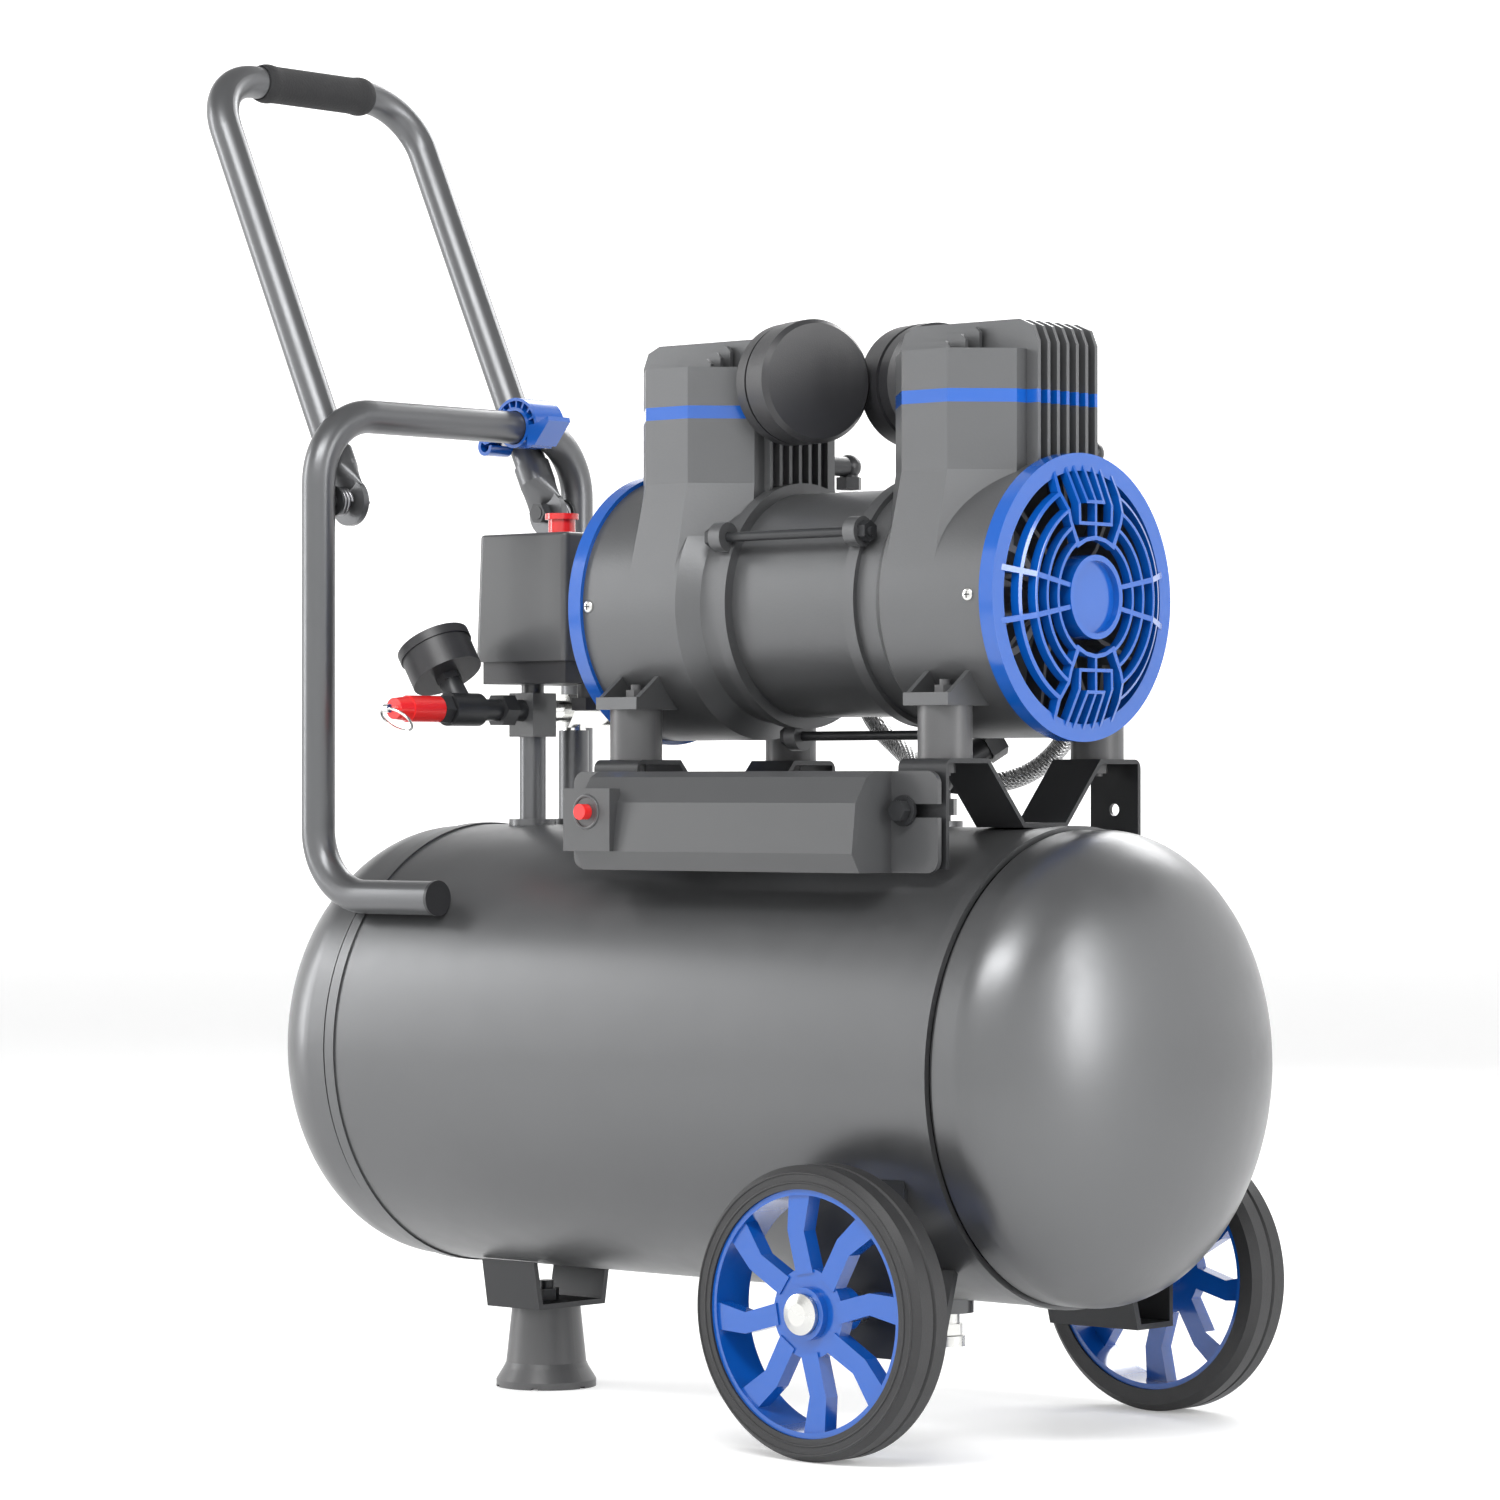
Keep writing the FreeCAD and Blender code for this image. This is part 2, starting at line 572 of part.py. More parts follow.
def make_rim(name, side):
    """A moulded rim: outer band, hub and eight swept spokes."""
    body = new_body(name)
    face = f"({side}) * (wheel_out_y - 1.5)"
    back = f"({side}) * (wheel_out_y - wheel_width + 1.5)"
    section = new_sketch(body, "YZ_Plane", "0", "wheel_z", "wheel_x")
    bore = "axle_radius + axle_play"
    hub_face, disc_face = f"({side}) * wheel_out_y", f"({side}) * (wheel_out_y - 4)"
    disc_back = f"({side}) * (wheel_out_y - 12)"
    hub_back = f"({side}) * (bracket_out_y + 11)"
    corners = [(hub_back, bore), (hub_face, bore), (hub_face, "hub_radius"), (disc_face, "hub_radius")]
    corners += [(disc_face, "hub_disc"), (disc_back, "hub_disc"), (disc_back, "hub_radius - 2")]
    corners += [(hub_back, "hub_radius - 2")]
    draw_polygon(section, corners)
    turn(body, section, "H_Axis")
    spoke_face = f"-({side}) * (wheel_out_y - 3)"
    spoke = new_sketch(body, "XZ_Plane", "wheel_x", "wheel_z", spoke_face)
    lean = f"({side})"
    corners = [(f"{lean} * 7", "hub_disc - 4"), (f"{lean} * 13", "rim_radius * 0.66")]
    corners += [(f"{lean} * 12", "rim_radius - rim_wall"), (f"{lean} * -2", "rim_radius - rim_wall + 1")]
    corners += [(f"{lean} * 2", "rim_radius * 0.66"), (f"{lean} * -4", "hub_disc - 2")]
    draw_polygon(spoke, corners)
    arm = pad(body, spoke, "9", backwards=side < 0)
    repeat_round(body, [arm], spoke, 8)
    band = new_sketch(body, "YZ_Plane", "0", "wheel_z", "wheel_x")
    wall, well = "rim_radius", "(rim_radius - rim_wall)"
    corners = [(face, wall), (face, well), (back, well), (back, wall)]
    draw_polygon(band, corners)
    turn(body, band, "H_Axis")
    return keep(body, name)


def make_foot():
    body = new_body("foot_pad")
    section = new_sketch(body, "XZ_Plane")
    corners = [("0", "0"), ("foot_radius", "0"), ("foot_radius", "foot_rim")]
    corners += [("foot_neck + 1.4", "foot_neck_z - 3"), ("foot_neck", "foot_neck_z")]
    corners += [("foot_top", "foot_height"), ("foot_bolt_radius", "foot_height")]
    corners += [("foot_bolt_radius", "foot_stud_z"), ("0", "foot_stud_z")]
    draw_polygon(section, corners)
    turn(body, section, "V_Axis")
    notch = new_sketch(body, "XY_Plane")
    draw_rectangle(notch, "foot_radius - 8", "-2", "foot_radius + 1", "2")
    cut = pocket(body, notch, "1.2", backwards=True)
    repeat_round(body, [cut], notch, 6)
    return keep(body, "foot_pad")


def make_foot_bracket():
    body = new_body("foot_bracket")
    outline = new_sketch(body, "YZ_Plane", out="-foot_bracket_half")
    low, high, base, top = "foot_bracket_low", "foot_bracket_high", "foot_height", "foot_bracket_top_z"
    thick = "foot_bracket_sheet"
    half = [(low, base), (high, top), (f"{high} - {thick}", top), (f"{low} - {thick}", f"{base} + {thick}")]
    draw_polygon(outline, half + [(f"-({across})", up) for across, up in reversed(half)])
    pad(body, outline, "2 * foot_bracket_half")
    hole = new_sketch(body, "XY_Plane", out=f"{base} + {thick}")
    draw_circle(hole, "0", "0", "foot_bolt_radius")
    pocket(body, hole, thick)
    return keep(body, "foot_bracket")


# ---------------------------------------------------------------- folding handle


def along_leg(distance, y):
    """A point on the handle's leg, that far from the pivot, at that place across the machine."""
    tilt = math.radians(mm("handle_tilt"))
    return Vector(mm("frame_x") - distance * math.sin(tilt), y, mm("pivot_z") + distance * math.cos(tilt))


def flattened_lug(middle):
    """The crushed end of one leg: a sleeve, a smooth change to a flat blade, and a disc round the bolt."""
    across = Vector(0, 1, 0)
    radius, half = mm("lug_radius"), mm("lug_half")
    start = along_leg(mm("sleeve_start"), middle)
    upwards = (along_leg(mm("handle_reach"), middle) - start).normalize()
    sleeve = Part.makeCylinder(mm("lug_sleeve"), mm("sleeve_end - sleeve_start"), start, upwards)
    sideways = across.cross(upwards)
    blade_at = along_leg(mm("blade_end"), middle)
    flat = Part.Ellipse(blade_at + sideways * radius, blade_at + across * half, blade_at)
    round_end = Part.Circle(start, upwards, mm("lug_sleeve"))
    round_end.XAxis = sideways
    change = Part.makeLoft([Part.Wire(flat.toShape()), Part.Wire(round_end.toShape())], True)
    disc = Part.makeCylinder(radius, 2 * half, along_leg(0, middle - half), across)
    lug = sleeve.fuse([change, disc])
    lug = lug.cut(Part.makeCylinder(mm("tube_radius"), 2 * mm("sleeve_end"), start, upwards))
    bore = Part.makeCylinder(mm("pivot_bolt_radius + pivot_play"), 60, along_leg(0, middle - 30), across)
    return lug.cut(bore)


def make_handle_tube():
    """A bent tube whose two ends carry flattened lugs that turn on the pivot bolts."""
    y, reach, start = mm("handle_y"), mm("handle_reach"), mm("sleeve_start")
    points = [along_leg(start, -y), along_leg(reach, -y), along_leg(reach, y), along_leg(start, y)]
    path = bent_path(points, [mm("handle_bend")] * 2)
    shape = swept(path, mm("tube_radius")).cut(swept(path, mm("tube_radius - tube_wall")))
    return as_node("handle_tube", shape.fuse([flattened_lug(-y), flattened_lug(y)]))


def make_handle_grip():
    x = "frame_x - handle_reach * sin(handle_tilt)"
    z = "pivot_z + handle_reach * cos(handle_tilt)"
    low_end = (x, "grip_shift - grip_half", z)
    return keep(pipe(low_end, "y", "grip_radius", "tube_radius", "2 * grip_half"), "handle_grip")


def make_pivot_bolts():
    """Each bolt runs from a nut inside the upright, through spring, washer and lug, to a nut inside."""
    bolts = []
    for side, outwards in ((-1, ALONG["-y"]), (1, ALONG["y"])):
        def at(y):
            return ("frame_x", f"({side}) * ({y})", "pivot_z")

        shank = rod(at("handle_y - 10"), outwards, "pivot_bolt_radius", "frame_y - handle_y + 10")
        anchor = hexagon(at("frame_y - tube_radius + tube_wall + 2.3"), outwards, "8.8", "4.5")
        nut = hexagon(at("handle_y - 9.6"), outwards, "11", "6.2")
        washer = rod(at("spring_out_y + 0.3"), outwards, "pivot_bolt_radius * 2.2", "1.5")
        bolts.append(fused(shank, anchor, nut, washer))
    return keep(grouped(*bolts), "pivot_bolts")


def make_pivot_springs():
    """A compression spring on each pivot bolt, between the lug and the upright."""
    low, high = mm("spring_in_y"), mm("spring_out_y")
    radius, wire, pitch = mm("spring_radius"), mm("spring_wire"), mm("spring_pitch")
    springs = []
    for side in (-1, 1):
        coil = Part.makeHelix(pitch, high - low - 2 * wire, radius)
        section = Part.Wire(Part.Circle(Vector(radius, 0, 0), Vector(0, 1, 0), wire).toShape())
        spring = Part.Wire(coil.Edges).makePipeShell([section], True, True)
        turned = Rotation(Vector(0, 0, 1), Vector(0, side, 0))
        spring.Placement = Placement(Vector(mm("frame_x"), side * (low + wire), mm("pivot_z")), turned)
        springs.append(spring)
    return as_node("pivot_springs", Part.makeCompound(springs))


def make_latch_clip():
    """A moulded clip on the crossbar: ring, ribbed pockets, skin, thumb ramp and a rolled lip."""
    x, z = mm("frame_x"), mm("frame_top_z")
    low, high, far = mm("clip_low_y"), mm("clip_high_y"), mm("clip_far_y")
    bore, ring_out = mm("clip_bore"), mm("clip_ring")
    skin_in, skin_out = mm("clip_skin_in"), mm("clip_skin_out")
    across = Vector(0, 1, 0)

    def disc(radius, start, end, dx=0, dz=0):
        return Part.makeCylinder(radius, end - start, Vector(x + dx, start, z + dz), across)

    def tube(outer, inner, start, end, dx=0, dz=0):
        return disc(outer, start, end, dx, dz).cut(disc(inner, start - 1, end + 1, dx, dz))

    def plate(corners, start, end):
        points = [Vector(x + dx, start, z + dz) for dx, dz in corners]
        return Part.Face(Part.makePolygon(points + points[:1])).extrude(across * (end - start))

    upper = plate([(-30, -1), (-30, 30), (30, 30), (30, -12), (2, -12), (2, -1)], low, far)
    floor = tube(skin_in + 0.2, ring_out - 0.2, low + mm("clip_floor"), high)
    skin = tube(skin_out, skin_in, low + 1, high)
    ribs = []
    for angle in range(0, 181, 22):
        rib = Part.makeBox(skin_in - ring_out + 0.6, high - low - 3, 1.1, Vector(ring_out - 0.3, low + 1.5, -0.55))
        rib.rotate(Vector(), across, -angle)
        rib.translate(Vector(x, 0, z))
        ribs.append(rib)
    crown = skin.fuse([floor, *ribs]).common(upper)
    cover = tube(skin_out, skin_in, high - 0.5, far)
    cover = cover.common(plate([(-2, 4), (30, 4), (30, 30), (-2, 30)], low, far))
    ramp = plate([(11, -11), (11, 1), (17, 1.5), (28, 5.5), (28.6, 3), (17, -11)], low, high)
    arm = plate([(-11, 4), (-17, 3), (-28.5, -6), (-24, -9), (-14, -6.5), (-11, -4)], low, high)
    roll = tube(mm("clip_roll"), mm("clip_roll_bore"), low, high, -24, -10)
    roll = roll.cut(plate([(-24, -10), (-20, 2), (-14, 0), (-14, -9)], low - 1, high + 1))
    solid = tube(ring_out, bore, low, high).fuse([crown, cover, ramp, arm, roll])
    return as_node("latch_clip", solid.cut(disc(bore, low - 1, far + 1)))


# ---------------------------------------------------------------- pressure line, gauge and switch


def make_standpipes():
    """Two steel pipes stand on the tank's bosses and carry the switch manifold and the outlet."""
    main_pipe = pipe(("service_x", "0", "boss_top_z"), "z", "pipe_radius", "4.5", "block_low_z - boss_top_z")
    riser = pipe(("service_x", "riser_y", "boss_top_z"), "z", "riser_radius", "5", "riser_top_z - boss_top_z")
    return keep(grouped(main_pipe, riser), "standpipes")


def make_manifold():
    half = "block_width / 2"
    block = brick(
        (f"service_x - {half}", f"-{half}", "block_low_z"), (f"service_x + {half}", half, "block_high_z")
    )
    neck = rod(("service_x", "0", "block_high_z"), "z", "6.5", "switch_low_z - block_high_z")
    bore = rod(("service_x", "0", "block_low_z"), "z", "3.5", "switch_low_z - block_low_z")
    cross = rod(("service_x", f"-{half}", "service_z"), "y", "3.5", "block_width")
    return keep(less(fused(block, neck), bore, cross), "manifold_block")


def make_tee():
    """The branch that runs to the front: neck, hexagons and a tee with a tilted gauge socket."""
    def at(y):
        return ("service_x", f"-({y})", "service_z")

    run = rod(at("block_width / 2"), "-y", "6.2", "20 - gauge_y - block_width / 2")
    first = hexagon(at("block_width / 2 + 10"), "-y", "17", "10")
    second = hexagon(at("-gauge_y + 13"), "-y", "15", "7")
    hub = rod(at("-gauge_y - 12"), "-y", "9.4", "24")
    branch = taper(("service_x", "gauge_y", "service_z"), gauge_axis(), "7.5", "6.4", "gauge_reach - 11")
    bore = rod(at("0"), "-y", "3.5", "76")
    return keep(less(fused(run, first, second, hub, branch), bore), "tee_fitting")


def gauge_axis():
    return Rotation(Vector(0, 1, 0), -mm("gauge_tilt"))


def from_gauge(distance, sideways="0"):
    """A point on the gauge's stem line, or beside it in the plane of the tilt."""
    x = f"service_x - ({distance}) * sin(gauge_tilt) - ({sideways}) * cos(gauge_tilt)"
    z = f"service_z + ({distance}) * cos(gauge_tilt) - ({sideways}) * sin(gauge_tilt)"
    return (x, "gauge_y", z)


def make_gauge():
    """A pressure gauge that faces up its own stem line: case, dial, needle and lens."""
    axis = gauge_axis()
    stem = hexagon(from_gauge("gauge_reach - 11"), axis, "13", "5")
    case = rod(from_gauge("gauge_reach - 7"), axis, "gauge_radius", "gauge_thick")
    rim_at = from_gauge("gauge_reach - 12 + gauge_thick")
    bezel = pipe(rim_at, axis, "gauge_radius + 0.9", "gauge_radius - 1", "5.4")
    room = rod(from_gauge("gauge_reach - 4"), axis, "gauge_radius - 1.8", "gauge_thick")
    keep(less(fused(stem, case, bezel), room), "gauge_case")
    dial = rod(from_gauge("gauge_reach + 5"), axis, "gauge_radius - 1.8", "1")
    keep(less(dial, rod(from_gauge("gauge_reach"), axis, "1.5", "10")), "gauge_dial")
    hub = rod(from_gauge("gauge_reach + 6.4"), axis, "2.6", "1.6")
    post = rod(from_gauge("gauge_reach + 2"), axis, "1.2", "5")
    hand = doc.addObject("Part::Box", "Hand")
    for path, amount in (("Length", "gauge_radius - 6"), ("Width", "1.4"), ("Height", "0.7")):
        bind(hand, path, amount)
    base = from_gauge("gauge_reach + 7")
    put(hand, (base[0], "gauge_y - 0.7", base[2]), axis)
    keep(fused(hub, post, hand), "gauge_needle")
    keep(rod(from_gauge("gauge_reach + gauge_thick - 12"), axis, "gauge_radius - 1.9", "1.8"), "gauge_lens")


def make_relief_valve():
    """Body and red cap of the safety valve on the end of the front branch."""
    body = rod(("service_x", "valve_end_y", "service_z"), "y", "valve_radius", "gauge_y - 20 - valve_end_y")
    cap = taper(("service_x", "cap_end_y", "service_z"), "y", "cap_radius - 1", "cap_radius", "valve_end_y - cap_end_y")
    bore = rod(("service_x", "cap_end_y", "service_z"), "y", "1.5", "20")
    return keep(less(fused(body, cap), bore), "relief_valve")


def make_relief_ring():
    """The valve's pull stem and the wire ring that hangs from it, slanting back under the cap."""
    stem = rod(("service_x", "cap_end_y - 6", "service_z"), "y", "1.42", "15")
    eye = rod(("service_x - 2", "cap_end_y - 5", "service_z"), "x", "2.4", "4")
    ring = doc.addObject("Part::Torus", "Ring")
    bind(ring, "Radius1", "pull_ring")
    bind(ring, "Radius2", "pull_wire")
    slant = Rotation(Vector(0, 0, 1), Vector(0, 0.64, 0.77))
    put(ring, ("service_x", "cap_end_y - 5 + 0.77 * pull_ring", "service_z - 0.64 * pull_ring"), slant)
    return keep(fused(stem, eye, ring), "relief_ring")


def make_switch():
    """Pressure switch: a base on the manifold, a hollow cover with a tapered front, and its knob."""
    low_x, high_x = "switch_left_x", "switch_right_x"
    low_y, high_y = "switch_front_y", "switch_back_y"
    keep(
        brick((f"{low_x} + 2", f"{low_y} + 2", "switch_low_z"), (f"{high_x} - 2", f"{high_y} - 2", "switch_base_z")),
        "switch_base",
    )
    body = new_body("switch_cover")
    profile = new_sketch(body, "XZ_Plane", out=f"-{high_y}")
    corners = [(f"{low_x} - switch_taper", "switch_base_z"), (high_x, "switch_base_z")]
    corners += [(high_x, "switch_top_z"), (low_x, "switch_top_z")]
    draw_polygon(profile, corners)
    shell = pad(body, profile, f"{high_y} - {low_y}")
    tall = mm("switch_top_z - switch_base_z")
    rounded = round_edges(body, shell, lambda edge: edge.BoundBox.ZLength > tall - 1, "4")
    top = mm("switch_top_z")
    round_edges(body, rounded, lambda edge: abs(edge.BoundBox.ZMin - top) < 0.01, "2")
    room = new_sketch(body, "XY_Plane", out="switch_base_z")
    draw_rectangle(room, f"{low_x} + 2.5", f"{low_y} + 2.5", f"{high_x} - 2.5", f"{high_y} - 2.5")
    pocket(body, room, "switch_top_z - switch_base_z - 2.5", backwards=True)
    opening = new_sketch(body, "XY_Plane", out="switch_top_z")
    draw_circle(opening, "knob_x", "knob_y", "knob_radius + 0.06")
    pocket(body, opening, "5")
    keep(body, "switch_cover")
    shaft = rod(("knob_x", "knob_y", "switch_top_z - 14"), "z", "knob_radius", "14 + knob_height")
    crown = rod(("knob_x", "knob_y", "switch_top_z + knob_height - 3"), "z", "knob_top_radius", "3.4")
    keep(fused(shaft, crown), "switch_knob")


def make_cable_gland():
    axis = ALONG["z"]
    base = ("service_x + 34", "riser_y - 22", "switch_low_z - 15")
    nut = hexagon(base, axis, "19", "7")
    barrel = rod(base, axis, "7.5", "15")
    throat = rod(base, axis, "3.6", "15")
    return keep(less(fused(nut, barrel), throat), "cable_gland")


def make_outlet_coupler():
    """A quick coupler that points to the back, fed by the manifold and the riser."""
    def at(y):
        return ("service_x", y, "service_z")

    nipple = rod(at("block_width / 2"), "y", "6.2", "14")
    elbow = hexagon(at("block_width / 2 + 14"), "y", "19", "21")
    body = rod(at("block_width / 2 + 35"), "y", "8.2", "14")
    sleeve = rod(at("block_width / 2 + 49"), "y", "10.5", "coupler_end_y - block_width / 2 - 49")
    foot = rod(("service_x", "riser_y", "riser_top_z"), "z", "7", "4")
    bore = rod(at("block_width / 2 + 30"), "y", "coupler_bore", "50")
    return keep(less(fused(nipple, elbow, body, sleeve, foot), bore), "outlet_coupler")


def aimed(direction):
    """A rotation of the upright to any direction."""
    return Rotation(Vector(0, 0, 1), Vector(*direction))


LEFT_PORT = (-0.82, 0.56, 0.12)
RIGHT_PORT = (0.35, 0.93, -0.1)
VALVE_SIDE = (0.45, 0.72, 0.53)
HOSE_PORT = 22
# The hoses' corners: from the elbow behind each cylinder down to the inlet fitting.
LEFT_HOSE = [(152, 88, 508), (152, 93, 436), (166, 82, 384), (222, 62, 354)]
RIGHT_HOSE = [(325, 88, 508), (326, 94, 436), (320, 92, 382), (294, 70, 341)]


def inlet_hub():
    return ("inlet_x", "inlet_y", "boss_top_z + 23")


def port_end(direction):
    hub = Vector(*[mm(amount) for amount in inlet_hub()])
    return hub + Vector(*direction).normalize() * HOSE_PORT


def make_discharge_fittings():
    """The one-way valve on the tank's inlet, and an elbow behind each cylinder."""
    base = ("inlet_x", "inlet_y", "boss_top_z")
    stem = rod(base, "z", "7", "24")
    nut = hexagon(("inlet_x", "inlet_y", "boss_top_z + 3"), "z", "19", "9")
    solids = [stem, nut, ball(inlet_hub(), "9.5")]
    for direction in (LEFT_PORT, RIGHT_PORT):
        solids.append(rod(inlet_hub(), aimed(direction), "5.2", "21"))
        solids.append(hexagon(inlet_hub(), aimed(direction), "13", "17"))
    solids.append(rod(inlet_hub(), aimed(VALVE_SIDE), "7.5", "32"))
    x, y, z = inlet_hub()
    step_x, step_y, step_z = VALVE_SIDE
    cap_at = (f"{x} + 31 * {step_x}", f"{y} + 31 * {step_y}", f"{z} + 31 * {step_z}")
    solids.append(hexagon(cap_at, aimed(VALVE_SIDE), "17", "10"))
    groups = [fused(*solids)]
    for hose in (LEFT_HOSE, RIGHT_HOSE):
        x, y, z = hose[0]
        nipple = rod((x, "block_half_y", z + 14), "y", "5.6", f"{y} - block_half_y")
        corner = ball((x, y, z + 14), "7")
        drop = rod((x, y, z + 1), "z", "5.2", "13")
        nut = hexagon((x, y, z + 1), "z", "13", "7")
        collar = hexagon((x, "block_half_y", z + 14), "y", "15", "6")
        groups.append(fused(nipple, corner, drop, nut, collar))
    return keep(grouped(*groups), "discharge_fittings")


def make_discharge_hoses():
    """Two braided hoses lead from the cylinders' back faces down to the inlet fitting."""
    hoses = []
    for corners, port, radii in ((LEFT_HOSE, LEFT_PORT, (90, 48, 60)), (RIGHT_HOSE, RIGHT_PORT, (90, 70, 40))):
        points = [Vector(*corner) for corner in corners] + [port_end(port)]
        hoses.append(swept(bent_path(points, radii), mm("hose_radius")))
    return as_node("discharge_hoses", Part.makeCompound(hoses))


def make_drain_valve():
    def at(drop):
        return ("drain_x", "0", f"drain_boss_z - {drop}")

    body = fused(rod(at(12), "z", "6", "12"), hexagon(at(12), "z", "14", "6"))
    keep(less(body, rod(at(12), "z", "2.5", "12")), "drain_valve")
    keep(fused(rod(at(18), "z", "9", "5.6"), rod(at(13), "z", "2.44", "9")), "drain_knob")


# ---------------------------------------------------------------- control box


def make_control_box():
    """A moulded box across both saddles: two flat ears, a bulging middle, and a pod for the button."""
    body = new_body("control_box")
    ears = new_sketch(body, "XZ_Plane", out="-box_back_y")
    draw_rectangle(ears, "box_left_x", "box_low_z", "box_right_x", "box_top_z")
    plate = pad(body, ears, "box_ear_sheet")
    rounded = round_edges(body, plate, lambda edge: runs_along(edge, Vector(0, 1, 0)), "7")
    section = new_sketch(body, "YZ_Plane", out="box_left_x + box_ear")
    corners = [("box_back_y", "box_low_z"), ("box_front_y + 6", "box_low_z"), ("box_front_y", "box_low_z + 10")]
    corners += [("box_front_y + 3", "box_low_z + 36"), ("box_front_y + 12", "box_top_z - 3")]
    corners += [("box_front_y + 18", "box_top_z"), ("box_back_y", "box_top_z")]
    draw_polygon(section, corners)
    pad(body, section, "box_right_x - box_left_x - 2 * box_ear")
    pod = new_sketch(body, "XZ_Plane", out="-box_front_y - 5")
    draw_rectangle(pod, "pod_left_x", "box_low_z + 10", "pod_right_x", "box_top_z - 9")
    pad(body, pod, "8")
    room = new_sketch(body, "YZ_Plane", out="box_left_x + box_ear + box_wall")
    back = "box_back_y - box_wall"
    inner = [(back, "box_low_z + box_wall"), ("box_front_y + 8", "box_low_z + box_wall")]
    inner += [("box_front_y + box_wall + 1", "box_low_z + 11"), ("box_front_y + box_wall + 4", "box_low_z + 36")]
    inner += [("box_front_y + 15", "box_top_z - 3 - box_wall"), (back, "box_top_z - box_wall")]
    draw_polygon(room, inner)
    pocket(body, room, "box_right_x - box_left_x - 2 * box_ear - 2 * box_wall", backwards=True)
    slots = new_sketch(body, "XZ_Plane", out="-box_back_y + box_ear_sheet")
    low, high = "box_bolt_z - slot_width / 2", "box_bolt_z + slot_width / 2"
    draw_rectangle(slots, "box_left_x", low, "box_bolt_left_x + box_bolt_radius + 0.3", high)
    draw_rectangle(slots, "box_bolt_right_x - box_bolt_radius - 0.3", low, "box_right_x", high)
    pocket(body, slots, "box_ear_sheet")
    guide = new_sketch(body, "XZ_Plane", out="-box_front_y + 4")
    draw_circle(guide, "button_x", "button_z", "button_radius + 0.06")
    pocket(body, guide, "20")
    return keep(body, "control_box")


def make_frame_bolts():
    """Two bolts hold the box to the saddles' front legs. The foot's moulded-in stud takes a nut."""
    bolts = []
    for x in ("box_bolt_left_x", "box_bolt_right_x"):
        shank = rod((x, "box_back_y - box_ear_sheet - 1", "box_bolt_z"), "y", "box_bolt_radius", "14")
        flange = rod((x, "box_back_y - box_ear_sheet - 2", "box_bolt_z"), "y", "8", "2")
        head = hexagon((x, "box_back_y - box_ear_sheet - 7", "box_bolt_z"), "y", "10", "5")
        bolts.append(fused(shank, flange, head))
    stud = rod(("0", "0", "foot_stud_z"), "z", "foot_bolt_radius", "foot_height + 14 - foot_stud_z")
    nut = hexagon(("0", "0", "foot_height + foot_bracket_sheet"), "z", "13", "6.5")
    bolts.append(fused(stud, nut))
    return keep(grouped(*bolts), "frame_bolts")


def make_capacitor():
    x = "(box_left_x + box_right_x) / 2 - 10"
    middle = (x, "(box_front_y + box_back_y) / 2 + 2", "(box_low_z + box_top_z) / 2")
    return keep(rod(middle, "x", "capacitor_radius", "capacitor_length"), "capacitor")


def make_reset_button():
    cap = rod(("button_x", "box_front_y - 8.5", "button_z"), "y", "button_radius", "20")
    collar = rod(("button_x", "box_front_y + 8.6", "button_z"), "y", "button_radius + 1.6", "2")
    return keep(fused(cap, collar), "reset_button")


# ---------------------------------------------------------------- pump: cases, cylinders and heads


def case_x(side, distance):
    """A place along the pump's axis, that far from its middle on that side."""
    return f"pump_x + ({side}) * ({distance})"


def tie_rod_places():
    """Across and up from the pump's axis, for the three tie rods."""
    return [(f"rod_circle * cos({angle})", f"rod_circle * sin({angle})") for angle in (30, 150, 270)]


CASE_PROFILE = [("case_in", "case_flange_radius"), ("case_flange", "case_flange_radius")]
CASE_PROFILE += [("case_flange", "case_flange_radius - 3"), ("case_flange + 13", "case_flange_radius - 3")]
CASE_PROFILE += [("case_flange + 23", "case_radius"), ("case_out", "case_radius")]


